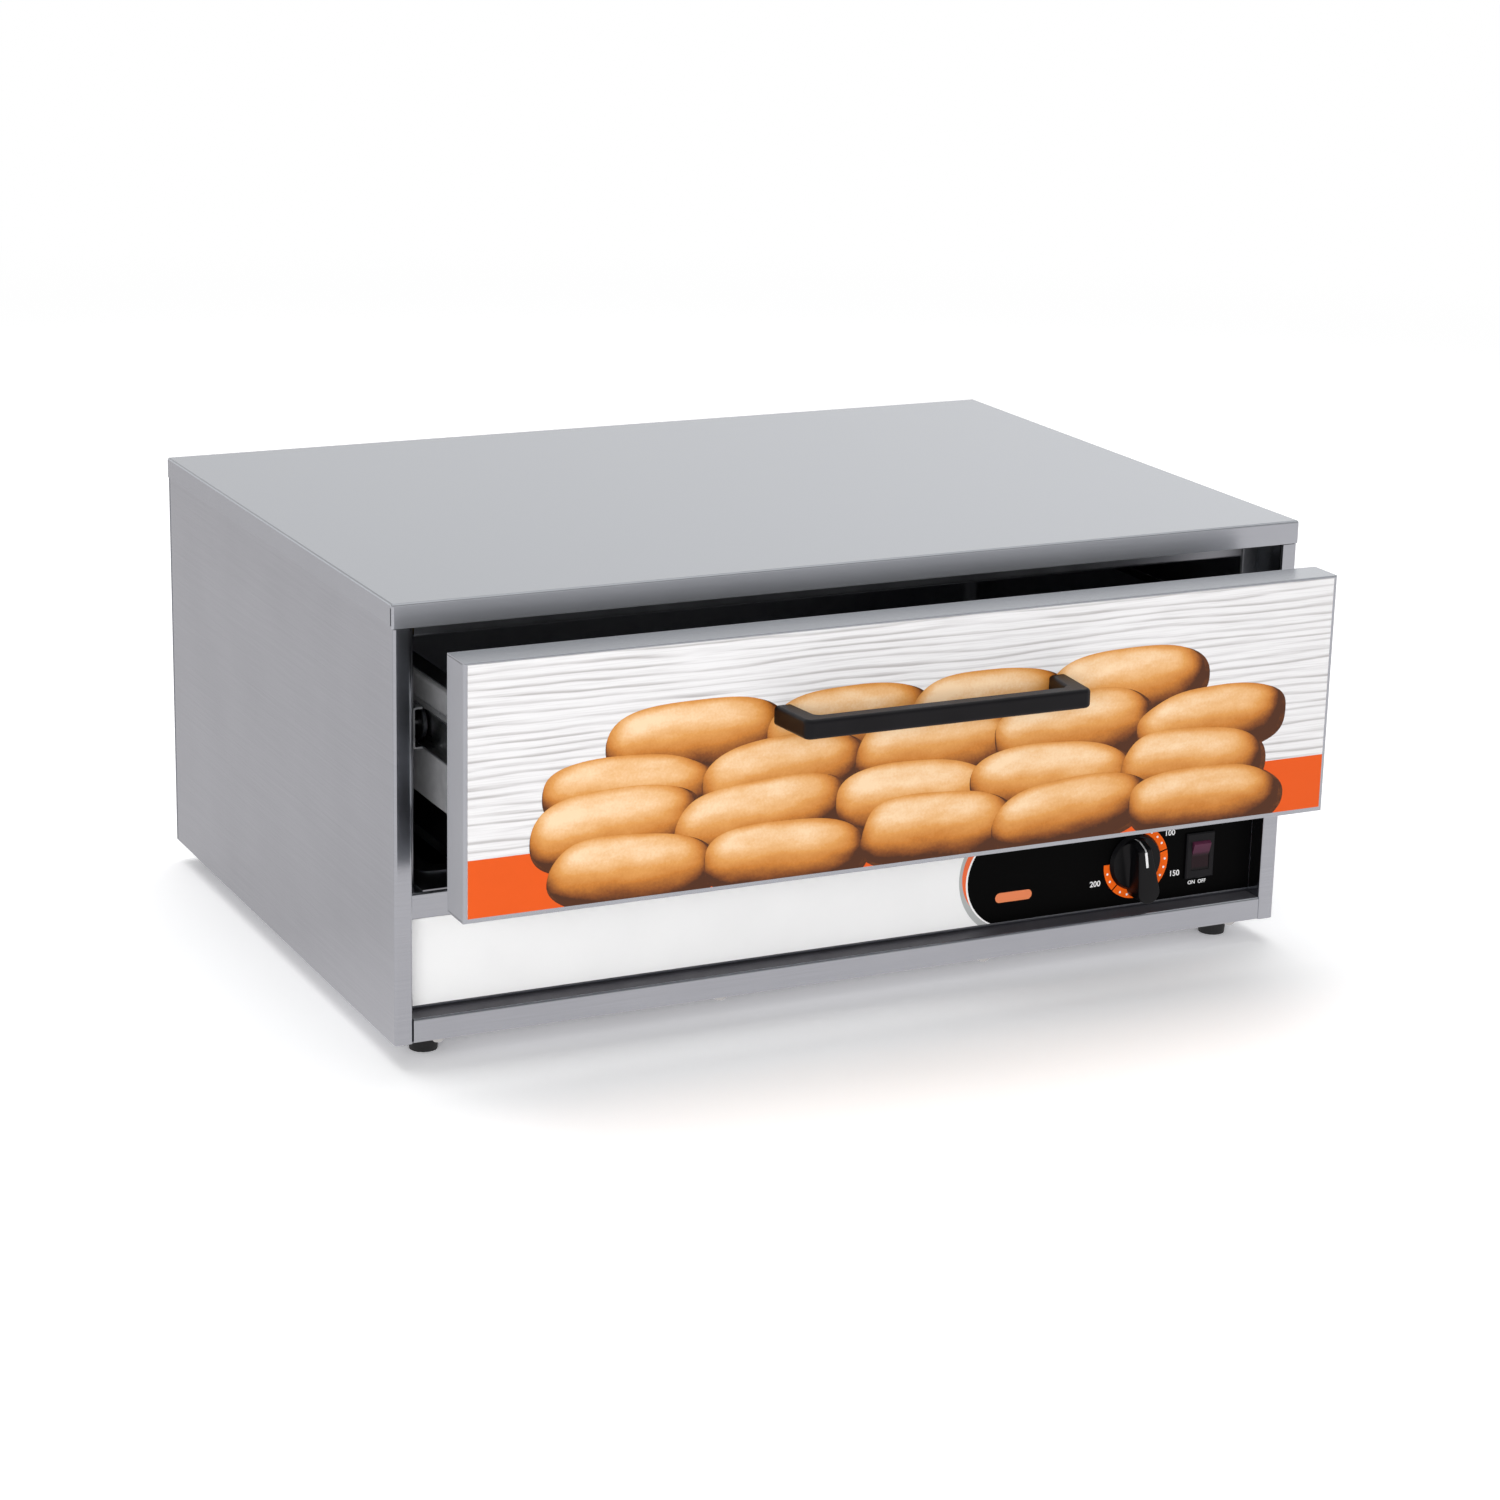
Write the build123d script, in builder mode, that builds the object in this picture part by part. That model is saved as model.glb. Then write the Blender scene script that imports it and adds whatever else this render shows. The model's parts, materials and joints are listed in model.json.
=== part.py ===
from build123d import *
from math import cos, radians, sin
import os

os.makedirs("parts", exist_ok=True)

# Countertop drawer warmer for long buns. Sizes are in millimetres.
# +Z is up, the drawer opens towards -Y, and the origin is under the middle of the part,
# on the surface that its feet stand on, with the drawer part open.

# Cabinet
cabinet_width = 622.0
cabinet_depth = 431.4
cabinet_height = 270.4
foot_height = 14.8
sheet = 0.9
bend_radius = 1.4
seam = 0.4
fit_gap = 0.1
cover_front_flange = 14.9
cover_side_flange = 13.3
cover_edge_radius = 1.7
cover_corner_gap = 1.2
post_width = 12.5
post_return = 28.0
rear_flange = 14.0
bottom_flange = 40.0
rail_height = 15.6
rail_lip = 16.0
rail_shelf = 27.5
rail_end_gap = 0.3
base_flange = 12.0

# Heated cavity
wall_space = 24.3
cavity_rear_gap = 26.4
ceiling_drop = 28.4
ledge = 12.0
blanket_gap = 0.3

# Control panel, set back under the drawer
panel_recess = 14.05
panel_height = 89.3
panel_shelf = 27.0
label_bottom = 18.6
label_top = 73.1
label_thickness = 0.4

# Heater well and water pan
well_left_inset = 43.0
well_right_inset = 201.0
well_front = 54.0
well_back = 388.0
well_floor = 26.0
well_corner = 10.0
well_rim = 10.0
box_wall_gap = 15.0
water_pan_side_margin = 38.0
water_pan_margin = 15.0
water_pan_depth = 30.0
water_pan_corner = 18.0
water_pan_rim = 11.0
water_pan_rail = 12.0
water_pan_drop = 9.3
element_radius = 4.0
element_rise = 15.0
element_pitch = 66.0
element_legs = 4
element_side_margin = 38.0
element_tail = 40.0
element_hole_gap = 0.3
element_end_flat = 1.0
clip_thickness = 2.0

# Thermostat and knob
dial_inset = 102.8
dial_z = 47.8
thermostat_size = 40.0
thermostat_depth = 32.0
bushing_radius = 5.0
bushing_length = 3.0
shaft_radius = 3.175
shaft_length = 30.0
shaft_running_gap = 0.05
shaft_press_gap = 0.02
knob_radius = 19.2
knob_skirt = 2.6
knob_skirt_taper = 30.0
knob_height = 15.4
knob_grip_end_width = 8.8
knob_grip_end = 16.5
knob_ramp_reach = 4.0
knob_ramp_depth = 7.0
knob_tail_radius = 8.0
knob_grip_tail = 25.2
knob_edge_radius = 1.2
knob_gap = 0.9
knob_lean = 9.0
pointer_start = 0.4
pointer_end = 11.0
pointer_width = 1.7
pointer_thickness = 0.3
bulb_radius = 3.0
bulb_length = 90.0
bulb_front = 150.0
bulb_rise = 29.0
capillary_radius = 1.0
capillary_bend = 12.0
capillary_front = 122.0
capillary_low = 58.0
clip_strip = 0.8
clip_width = 8.0
clip_share = 0.2

# Rocker switch
switch_inset = 52.9
switch_z = 46.3
bezel_width = 21.6
bezel_height = 31.2
bezel_thickness = 2.2
bezel_chamfer = 0.8
switch_body_width = 19.2
switch_body_height = 28.2
switch_body_depth = 22.0
rocker_width = 13.0
rocker_radius = 10.5
rocker_sink = 3.9
rocker_gap = 0.3
rocker_tilt = 8.0
rocker_dish = 0.5
rocker_lip = 1.2
rocker_pin_radius = 1.0
rocker_pin_length = 0.8
tab_width = 6.3
tab_thickness = 0.8
tab_length = 9.0
tab_pitch = 9.0

# Drawer
drawer_open = 69.2
drawer_travel = 300.0
drawer_side_margin = 17.0
drawer_thickness = 25.1
drawer_lift = 7.4
drawer_top_gap = 19.0
drawer_rear_gap = 8.0
drawer_corner_gap = 0.3
print_thickness = 0.3
print_side_border = 2.5
print_bottom_border = 3.0
print_top_border = 1.4
handle_width = 198.0
handle_bar_width = 192.0
handle_reach = 36.5
handle_bar_depth = 11.5
handle_leg = 12.0
handle_height = 12.0
handle_drop = 50.6
handle_corner = 5.0
handle_inner_corner = 3.5
handle_edge = 2.4
handle_screw_radius = 2.5
hanger_thickness = 1.2
hanger_drop = 31.0
hanger_rise = 35.0
hanger_flange = 13.0
hanger_notch_width = 22.0
hanger_notch_height = 5.0
hanger_notch_back = 84.0
pan_clearance = 14.0
pan_side_gap = 2.0
pan_end_gap = 4.0
pan_corner = 14.0
pan_rim = 11.0
pan_slot_length = 120.0
pan_slot_width = 9.0
pan_slot_columns = 9
pan_slot_rows = 2

# Roller slides
slide_thickness = 12.7
slide_height = 25.6
slide_drop = 12.4
slide_length = 360.0
slide_sheet = 1.2
slide_channel = 6.0
slide_front = 30.0
slide_nose = 1.5
roller_gap = 0.3
roller_width = 3.2
roller_groove = 0.5
roller_front_inset = 14.0
roller_rear_inset = 15.0
stop_height = 5.0
stop_thickness = 1.5
pin_radius = 2.0
pin_head_radius = 3.4
pin_running_gap = 0.05

# Feet and fasteners
foot_radius = 9.9
foot_tip_radius = 8.6
foot_inset = 28.6
foot_recess_radius = 5.0
foot_recess = 7.0
screw_radius = 2.0
screw_hole_gap = 0.2
recess_share = 0.55
recess_slimness = 0.3
foot_screw_head = 4.2
foot_screw_head_height = 2.6
foot_screw_reach = 6.0
rail_screw_inset = 7.5
rail_screw_head = 4.2
rail_screw_head_height = 3.3
rail_screw_dome = 1.6
rail_screw_side_margin = 18.0
case_screw_head = 3.8
case_screw_head_height = 2.0
case_screw_length = 8.0
case_screw_rows = 3

# Back panel
bushing_inset = 75.0
bushing_z = 46.0
bushing_hole = 11.0
bushing_flange = 14.0
bushing_proud = 4.0
bushing_inside = 12.0
cord_hole = 4.6
vent_length = 44.0
vent_width = 4.0
vent_pitch = 10.0
vent_count = 5
vent_inset = 161.0
vent_z = 46.0
terminal_block_length = 58.0
terminal_block_width = 22.0
terminal_block_height = 20.0
terminal_block_back = 60.0
terminal_well = 3.2

# Places worked out from the sizes
half_width = cabinet_width / 2
rear_proud = max(bushing_proud, case_screw_head_height)
front = (drawer_open + print_thickness + handle_reach - cabinet_depth - rear_proud) / 2
back = front + cabinet_depth
floor = foot_height
top = floor + cabinet_height
side_outer = half_width - sheet - fit_gap
side_inner = side_outer - sheet
post_edge = half_width - post_width
side_back = back - sheet - fit_gap
cover_skirt = top - cover_side_flange
post_top = top - cover_front_flange - seam
wall_top = top - sheet - fit_gap
base_z = floor + 2 * sheet
cavity_half = half_width - wall_space
cavity_floor_z = floor + panel_height
cavity_top = top - ceiling_drop
cavity_front = front + post_return + fit_gap
cavity_back = back - cavity_rear_gap
panel_front = front + panel_recess
panel_back = panel_front + sheet
label_front = panel_front - label_thickness
label_half = post_edge - 0.2
drawer_front = front - drawer_open
drawer_rear_face = drawer_front + drawer_thickness
drawer_bottom = cavity_floor_z + drawer_lift
drawer_top = top - drawer_top_gap
drawer_back = drawer_front + (cavity_back - front) - drawer_rear_gap
pan_floor = cavity_floor_z + pan_clearance
hanger_top = cavity_top - hanger_drop
hanger_bottom = pan_floor + hanger_rise
hanger_x = cavity_half - slide_thickness
slide_top = hanger_top - slide_drop
slide_bottom = slide_top - slide_height
slide_middle = (slide_top + slide_bottom) / 2
roller_radius = slide_height / 2 - slide_sheet - roller_gap
handle_z = drawer_top - handle_drop
well_left = well_left_inset - half_width
well_right = half_width - well_right_inset
water_pan_left = well_left + water_pan_side_margin
water_pan_right = well_right - water_pan_side_margin
element_left = well_left + element_side_margin
dial_x = half_width - dial_inset
switch_x = half_width - switch_inset
bushing_x = half_width - bushing_inset
vent_x = half_width - vent_inset


def slab(x_range, y_range, z_range, mode=Mode.ADD):
    """Add a block between three pairs of limits to the open part, or cut it away."""
    with BuildSketch(Plane.XY.offset(z_range[0])) as outline:
        with Locations(((x_range[0] + x_range[1]) / 2, (y_range[0] + y_range[1]) / 2)):
            Rectangle(x_range[1] - x_range[0], y_range[1] - y_range[0])
    extrude(outline.sketch, amount=z_range[1] - z_range[0], mode=mode)


def rod(start, direction, radius, length, mode=Mode.ADD):
    """Add a round rod to the open part, or cut it away, from start along a direction."""
    with BuildSketch(Plane(start, z_dir=direction)) as section:
        Circle(radius)
    extrude(section.sketch, amount=length, mode=mode)


def folded_sheet(plane, corners, length, thickness=sheet):
    """Add a sheet that is folded along its middle line, drawn in a plane and given a length."""
    with BuildSketch(plane) as section:
        with BuildLine():
            FilletPolyline(*corners, radius=bend_radius)
        trace(line_width=thickness)
    extrude(section.sketch, amount=length)


def screw(seat, inward, head_radius, head_height, shank_radius, shank_length):
    """Add a screw with a cross recess, whose head stands out of its seat and shank runs inward."""
    outward = tuple(-value for value in inward)
    rod(seat, inward, shank_radius, shank_length)
    rod(seat, outward, head_radius, head_height)
    head_face = Plane(seat, z_dir=outward).offset(head_height)
    arm = 2 * recess_share * head_radius
    with BuildSketch(head_face) as cross:
        Rectangle(arm, recess_slimness * arm)
        Rectangle(recess_slimness * arm, arm)
    extrude(cross.sketch, amount=-recess_share * head_height, mode=Mode.SUBTRACT)


def keep(builder, name):
    """Name a finished piece and write it to its file."""
    builder.part.label = name
    export_step(builder.part, f"parts/{name}.step")


def keep_pair(builder, name):
    """Write a left piece, and its mirror image as the right one."""
    keep(builder, f"{name}_left")
    with BuildPart() as twin:
        mirror(builder.part, about=Plane.YZ)
    keep(twin, f"{name}_right")


# Top cover: one sheet folded down on its four sides
with BuildPart() as top_cover:
    slab((-half_width, half_width), (front, back), (top - cover_front_flange, top))
    outer_edges = top_cover.edges().filter_by(Axis.Z) + top_cover.faces().sort_by(Axis.Z)[-1].edges()
    fillet(outer_edges, radius=cover_edge_radius)
    slab(
        (sheet - half_width, half_width - sheet),
        (front + sheet, back - sheet),
        (top - cover_front_flange, top - sheet),
        mode=Mode.SUBTRACT,
    )
    slab(
        (-half_width, half_width),
        (front + sheet + cover_corner_gap, back),
        (top - cover_front_flange, cover_skirt),
        mode=Mode.SUBTRACT,
    )
    slab(
        (-half_width, half_width),
        (front + sheet, front + sheet + cover_corner_gap),
        (top - cover_front_flange, top - cover_edge_radius - sheet),
        mode=Mode.SUBTRACT,
    )
    for x in (-1, 1):
        rod(
            (x * (side_outer - rear_flange / 2), back, cover_skirt + cover_side_flange / 2),
            (0, -1, 0),
            screw_radius + screw_hole_gap,
            sheet,
            mode=Mode.SUBTRACT,
        )
keep(top_cover, "top_cover")

# Side panel: wall, front post with its return, rear flange and bottom flange
case_screw_x = side_outer - rear_flange / 2
case_screw_gap = (cover_skirt - floor) / case_screw_rows
case_screw_z = [floor + case_screw_gap * (row + 0.5) for row in range(case_screw_rows)]
cover_screw_z = cover_skirt + cover_side_flange / 2
with BuildPart() as side_panel:
    wall_x = sheet / 2 - side_outer
    folded_sheet(
        Plane.XY.offset(floor),
        [
            (-post_edge - sheet / 2, front + post_return),
            (-post_edge - sheet / 2, front + sheet / 2),
            (wall_x, front + sheet / 2),
            (wall_x, side_back - sheet / 2),
            (rear_flange - side_outer, side_back - sheet / 2),
        ],
        post_top - floor,
    )
    folded_sheet(
        Plane.XY.offset(post_top),
        [
            (wall_x, front + sheet + fit_gap + bend_radius),
            (wall_x, side_back - sheet / 2),
            (rear_flange - side_outer, side_back - sheet / 2),
        ],
        wall_top - post_top,
    )
    slab(
        (-side_outer + sheet, bottom_flange - side_outer),
        (front + rail_lip + seam, side_back - sheet),
        (floor, floor + sheet),
    )
    for z in case_screw_z + [cover_screw_z]:
        rod(
            (-case_screw_x, side_back, z),
            (0, -1, 0),
            screw_radius + screw_hole_gap,
            sheet,
            mode=Mode.SUBTRACT,
        )
    foot_x = side_outer - foot_inset
    foot_y = (front + foot_inset, back - foot_inset)
    for y in foot_y:
        rod((-foot_x, y, floor), (0, 0, 1), screw_radius + screw_hole_gap, sheet, mode=Mode.SUBTRACT)
keep_pair(side_panel, "side_panel")

# Back panel with cooling slots and the hole for the cord
with BuildPart() as back_panel:
    slab((-side_outer, side_outer), (back - sheet, back), (floor, cover_skirt - seam))
    for x in (-case_screw_x, case_screw_x):
        for z in case_screw_z:
            rod((x, back, z), (0, -1, 0), screw_radius + screw_hole_gap, sheet, mode=Mode.SUBTRACT)
    rod((bushing_x, back, floor + bushing_z), (0, -1, 0), bushing_hole, sheet, mode=Mode.SUBTRACT)
    with BuildSketch(Plane.XZ.offset(-back)):
        with Locations((vent_x, floor + vent_z)):
            with GridLocations(0, vent_pitch, 1, vent_count):
                SlotOverall(vent_length, vent_width)
    extrude(amount=sheet, mode=Mode.SUBTRACT)
keep(back_panel, "back_panel")

# Cord bushing: a collar outside, a neck through the panel and a nut-like collar inside
with BuildPart() as cord_bushing:
    bushing_seat = (bushing_x, back, floor + bushing_z)
    rod(bushing_seat, (0, 1, 0), bushing_flange, bushing_proud)
    chamfer(cord_bushing.edges().sort_by(Axis.Y)[-1], length=bushing_proud / 3)
    rod(bushing_seat, (0, -1, 0), bushing_hole - fit_gap, bushing_inside)
    bushing_mouth = (bushing_x, back + bushing_proud, floor + bushing_z)
    rod(bushing_mouth, (0, -1, 0), cord_hole, bushing_inside + bushing_proud, mode=Mode.SUBTRACT)
keep(cord_bushing, "cord_bushing")

# Base pan, standing on the flanges of the side panels and of the front rail
with BuildPart() as base_pan:
    base_half = side_inner - fit_gap - sheet / 2
    base_front = front + sheet + bend_radius + seam
    base_back = side_back - sheet - bend_radius - seam
    base_line = base_z - sheet / 2
    folded_sheet(
        Plane.XZ.offset(-base_back),
        [
            (-base_half, base_z + base_flange),
            (-base_half, base_line),
            (base_half, base_line),
            (base_half, base_z + base_flange),
        ],
        base_back - base_front,
    )
    # the side flanges stop short of the returns of the posts
    for x in (-1, 1):
        low, high = sorted((x * side_inner, x * (post_edge - fit_gap)))
        slab(
            (low, high),
            (base_front, front + post_return + seam),
            (floor + sheet, base_z + base_flange),
            mode=Mode.SUBTRACT,
        )
    for x in (-foot_x, foot_x):
        for y in foot_y:
            rod((x, y, floor), (0, 0, 1), screw_radius + screw_hole_gap, base_z, mode=Mode.SUBTRACT)
    rail_screw_outer = post_edge - rail_screw_side_margin
    rail_screw_inner = rail_screw_outer / 3
    rail_screw_x = (-rail_screw_outer, -rail_screw_inner, rail_screw_inner, rail_screw_outer)
    rail_screw_y = front + rail_screw_inset
    for x in rail_screw_x:
        place = (x, rail_screw_y, floor)
        rod(place, (0, 0, 1), screw_radius + screw_hole_gap, base_z, mode=Mode.SUBTRACT)
keep(base_pan, "base_pan")

# Front rail under the recess: lip, face and shelf
with BuildPart() as front_rail:
    rail_half = post_edge - rail_end_gap
    folded_sheet(
        Plane.YZ.offset(-rail_half),
        [
            (front + rail_lip, floor + sheet / 2),
            (front + sheet / 2, floor + sheet / 2),
            (front + sheet / 2, floor + rail_height - sheet / 2),
            (front + rail_shelf, floor + rail_height - sheet / 2),
        ],
        2 * rail_half,
    )
    for x in rail_screw_x:
        place = (x, rail_screw_y, floor)
        rod(place, (0, 0, 1), screw_radius + screw_hole_gap, sheet, mode=Mode.SUBTRACT)
keep(front_rail, "front_rail")

# Control panel: foot on the rail, face, and a shelf under the cavity floor
with BuildPart() as control_panel:
    panel_half = post_edge - fit_gap
    panel_low = floor + rail_height
    folded_sheet(
        Plane.YZ.offset(-panel_half),
        [
            (front + panel_shelf, panel_low + sheet / 2),
            (panel_front + sheet / 2, panel_low + sheet / 2),
            (panel_front + sheet / 2, cavity_floor_z - sheet / 2),
            (front + panel_shelf, cavity_floor_z - sheet / 2),
        ],
        2 * panel_half,
    )
    rod(
        (dial_x, panel_front, floor + dial_z),
        (0, 1, 0),
        bushing_radius + fit_gap,
        sheet,
        mode=Mode.SUBTRACT,
    )
    slab(
        (switch_x - switch_body_width / 2 - fit_gap, switch_x + switch_body_width / 2 + fit_gap),
        (panel_front, panel_back),
        (
            floor + switch_z - switch_body_height / 2 - fit_gap,
            floor + switch_z + switch_body_height / 2 + fit_gap,
        ),
        mode=Mode.SUBTRACT,
    )
keep(control_panel, "control_panel")

# Printed label on the control panel
with BuildPart() as control_label:
    slab(
        (-label_half, label_half),
        (label_front, panel_front),
        (floor + label_bottom, floor + label_top),
    )
    rod(
        (dial_x, label_front, floor + dial_z),
        (0, 1, 0),
        bushing_radius + fit_gap,
        label_thickness,
        mode=Mode.SUBTRACT,
    )
    slab(
        (switch_x - switch_body_width / 2 - fit_gap, switch_x + switch_body_width / 2 + fit_gap),
        (label_front, panel_front),
        (
            floor + switch_z - switch_body_height / 2 - fit_gap,
            floor + switch_z + switch_body_height / 2 + fit_gap,
        ),
        mode=Mode.SUBTRACT,
    )
keep(control_label, "control_label")

# Inner walls of the heated cavity, with flanges front and rear and a ledge for the floor
capillary_x = cavity_half - bulb_radius - clip_strip - fit_gap
capillary_y = front + capillary_front
with BuildPart() as inner_wall:
    wall_z = cavity_floor_z - sheet
    inner_x = -cavity_half - sheet / 2
    folded_sheet(
        Plane.XY.offset(wall_z),
        [
            (blanket_gap - side_inner, cavity_front + sheet / 2),
            (inner_x, cavity_front + sheet / 2),
            (inner_x, cavity_back + sheet / 2),
            (blanket_gap - side_inner, cavity_back + sheet / 2),
        ],
        wall_top - wall_z,
    )
    slab(
        (-cavity_half, ledge - cavity_half),
        (cavity_front + sheet, cavity_back - seam),
        (wall_z, cavity_floor_z),
    )
    rod((-capillary_x, capillary_y, wall_z), (0, 0, 1), 2 * capillary_radius, sheet, mode=Mode.SUBTRACT)
keep_pair(inner_wall, "inner_wall")

# Ceiling of the cavity, turned up at the front and the back
with BuildPart() as ceiling_liner:
    ceiling_half = cavity_half - fit_gap
    folded_sheet(
        Plane.YZ.offset(-ceiling_half),
        [
            (cavity_front + sheet / 2, wall_top),
            (cavity_front + sheet / 2, cavity_top + sheet / 2),
            (cavity_back - sheet / 2, cavity_top + sheet / 2),
            (cavity_back - sheet / 2, wall_top),
        ],
        2 * ceiling_half,
    )
keep(ceiling_liner, "ceiling_liner")

with BuildPart() as rear_liner:
    slab(
        (-ceiling_half, ceiling_half),
        (cavity_back, cavity_back + sheet),
        (cavity_floor_z + sheet, wall_top),
    )
keep(rear_liner, "rear_liner")

# Cavity floor with the opening of the heater well
with BuildPart() as cavity_floor:
    slab(
        (-ceiling_half, ceiling_half),
        (panel_back, cavity_back),
        (cavity_floor_z, cavity_floor_z + sheet),
    )
    slab(
        (well_left - fit_gap, well_right + fit_gap),
        (front + well_front - fit_gap, front + well_back + fit_gap),
        (cavity_floor_z, cavity_floor_z + sheet),
        mode=Mode.SUBTRACT,
    )
    rod(
        (capillary_x, capillary_y, cavity_floor_z),
        (0, 0, 1),
        2 * capillary_radius,
        sheet,
        mode=Mode.SUBTRACT,
    )
keep(cavity_floor, "cavity_floor")

# Heater well: a deep tray that hangs by its rim
well_rim_z = cavity_floor_z + sheet
element_z = floor + well_floor + element_rise
element_front = front + (well_front + well_back - (element_legs - 1) * element_pitch) / 2
element_rows = [element_front + leg * element_pitch for leg in range(element_legs)]
with BuildPart() as heater_well:
    slab(
        (well_left, well_right),
        (front + well_front, front + well_back),
        (floor + well_floor, well_rim_z + sheet),
    )
    fillet(heater_well.edges().filter_by(Axis.Z), radius=well_corner)
    offset(amount=-sheet, openings=heater_well.faces().sort_by(Axis.Z)[-1])
    with BuildSketch(Plane.XY.offset(well_rim_z)):
        with Locations(((well_left + well_right) / 2, front + (well_front + well_back) / 2)):
            well_size = (well_right - well_left, well_back - well_front)
            RectangleRounded(well_size[0] + 2 * well_rim, well_size[1] + 2 * well_rim, well_corner)
            RectangleRounded(
                well_size[0] - 2 * sheet,
                well_size[1] - 2 * sheet,
                well_corner - sheet,
                mode=Mode.SUBTRACT,
            )
    extrude(amount=sheet)
    for y in (element_rows[0], element_rows[-1]):
        rod(
            (well_right, y, element_z),
            (-1, 0, 0),
            element_radius + element_hole_gap,
            sheet,
            mode=Mode.SUBTRACT,
        )
keep(heater_well, "heater_well")

# Heating element: one steel-sheathed rod bent to and fro over the well
with BuildPart() as heating_element:
    with BuildLine() as element_path:
        element_right = well_right - element_pitch
        element_end = well_right + element_tail
        points = [(element_end, element_rows[0], element_z)]
        for leg in range(element_legs - 1):
            turn_x = element_left if leg % 2 == 0 else element_right
            points.append((turn_x, element_rows[leg], element_z))
            points.append((turn_x, element_rows[leg + 1], element_z))
        points.append((element_end, element_rows[-1], element_z))
        FilletPolyline(*points, radius=element_pitch / 2 - element_end_flat)
    with BuildSketch(Plane(points[0], z_dir=(-1, 0, 0))):
        Circle(element_radius)
    sweep()
    for y in (element_rows[0], element_rows[-1]):
        rod((element_end, y, element_z), (1, 0, 0), element_radius / 2, element_radius * 3)
keep(heating_element, "heating_element")

# Element clips: combs that stand on the well floor and hold the rods in their notches
with BuildPart() as element_clips:
    clip_low = floor + well_floor + sheet
    for x in (element_left + element_pitch, element_right - element_pitch):
        with BuildSketch(Plane.YZ.offset(x - clip_thickness / 2)):
            with Locations(((element_rows[0] + element_rows[-1]) / 2, (clip_low + element_z) / 2)):
                comb_length = element_rows[-1] - element_rows[0] + 6 * element_radius
                Rectangle(comb_length, element_z - clip_low)
            with Locations(*[(y, element_z) for y in element_rows]):
                Circle(element_radius + fit_gap, mode=Mode.SUBTRACT)
        extrude(amount=clip_thickness)
keep(element_clips, "element_clips")

# Rails in the well that carry the rim of the water pan
rail_top = cavity_floor_z - water_pan_drop
with BuildPart() as water_pan_rails:
    for wall_y, inward in ((front + well_front + sheet, 1), (front + well_back - sheet, -1)):
        folded_sheet(
            Plane.YZ.offset(water_pan_left),
            [
                (wall_y + inward * sheet / 2, rail_top - water_pan_rail),
                (wall_y + inward * sheet / 2, rail_top - sheet / 2),
                (wall_y + inward * water_pan_rail, rail_top - sheet / 2),
            ],
            water_pan_right - water_pan_left,
        )
keep(water_pan_rails, "water_pan_rails")

# Water pan: a drawn tray with a rim
with BuildPart() as water_pan:
    water_front = front + well_front + water_pan_margin
    water_back = front + well_back - water_pan_margin
    water_size = (water_pan_right - water_pan_left, water_back - water_front)
    water_centre = ((water_pan_left + water_pan_right) / 2, (water_front + water_back) / 2)
    slab(
        (water_pan_left, water_pan_right),
        (water_front, water_back),
        (rail_top + sheet - water_pan_depth, rail_top + sheet),
    )
    fillet(water_pan.edges().filter_by(Axis.Z), radius=water_pan_corner)
    offset(amount=-sheet, openings=water_pan.faces().sort_by(Axis.Z)[-1])
    with BuildSketch(Plane.XY.offset(rail_top)):
        with Locations(water_centre):
            RectangleRounded(
                water_size[0] + 2 * water_pan_rim, water_size[1] + 2 * water_pan_rim, water_pan_corner
            )
            RectangleRounded(
                water_size[0] - 2 * sheet,
                water_size[1] - 2 * sheet,
                water_pan_corner - sheet,
                mode=Mode.SUBTRACT,
            )
    extrude(amount=sheet)
keep(water_pan, "water_pan")

# Wall between the heater well and the control box
with BuildPart() as control_box_wall:
    box_wall_x = well_right + box_wall_gap
    folded_sheet(
        Plane.XZ.offset(-cavity_back),
        [
            (box_wall_x + rear_flange, base_z + sheet / 2),
            (box_wall_x, base_z + sheet / 2),
            (box_wall_x, cavity_floor_z - sheet / 2),
            (box_wall_x + rear_flange, cavity_floor_z - sheet / 2),
        ],
        cavity_back - cavity_front,
    )
    for y in (element_rows[0], element_rows[-1]):
        rod(
            (box_wall_x - sheet, y, element_z),
            (1, 0, 0),
            element_radius + element_hole_gap,
            2 * sheet,
            mode=Mode.SUBTRACT,
        )
keep(control_box_wall, "control_box_wall")

# Fibre blankets round the cavity
blanket_low = cavity_floor_z
with BuildPart() as insulation_top:
    slab(
        (blanket_gap - cavity_half, cavity_half - blanket_gap),
        (cavity_front + sheet + blanket_gap, cavity_back - sheet - blanket_gap),
        (cavity_top + sheet + blanket_gap, wall_top - blanket_gap),
    )
keep(insulation_top, "insulation_top")

with BuildPart() as insulation_walls:
    for x in (-1, 1):
        limits = sorted((x * (cavity_half + sheet + blanket_gap), x * (side_inner - blanket_gap)))
        slab(
            limits,
            (cavity_front + sheet + blanket_gap, cavity_back - blanket_gap),
            (blanket_low, wall_top - blanket_gap),
        )
    slab(
        (-cavity_half, cavity_half),
        (cavity_back + sheet + blanket_gap, side_back - sheet - blanket_gap),
        (blanket_low, wall_top - blanket_gap),
    )
keep(insulation_walls, "insulation_walls")

# Thermostat behind the panel, with its threaded neck through the panel
dial_axis_z = floor + dial_z
with BuildPart() as thermostat_body:
    half_size = thermostat_size / 2
    slab(
        (dial_x - half_size, dial_x + half_size),
        (panel_back, panel_back + thermostat_depth),
        (dial_axis_z - half_size, dial_axis_z + half_size),
    )
    chamfer(thermostat_body.edges().filter_by(Axis.Y), length=thermostat_size / 6)
    neck_front = label_front - bushing_length
    rod((dial_x, panel_back, dial_axis_z), (0, -1, 0), bushing_radius, panel_back - neck_front)
    shaft_socket = thermostat_depth / 2
    rod(
        (dial_x, neck_front, dial_axis_z),
        (0, 1, 0),
        shaft_radius + shaft_running_gap,
        panel_back - neck_front + shaft_socket + fit_gap,
        mode=Mode.SUBTRACT,
    )
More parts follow.
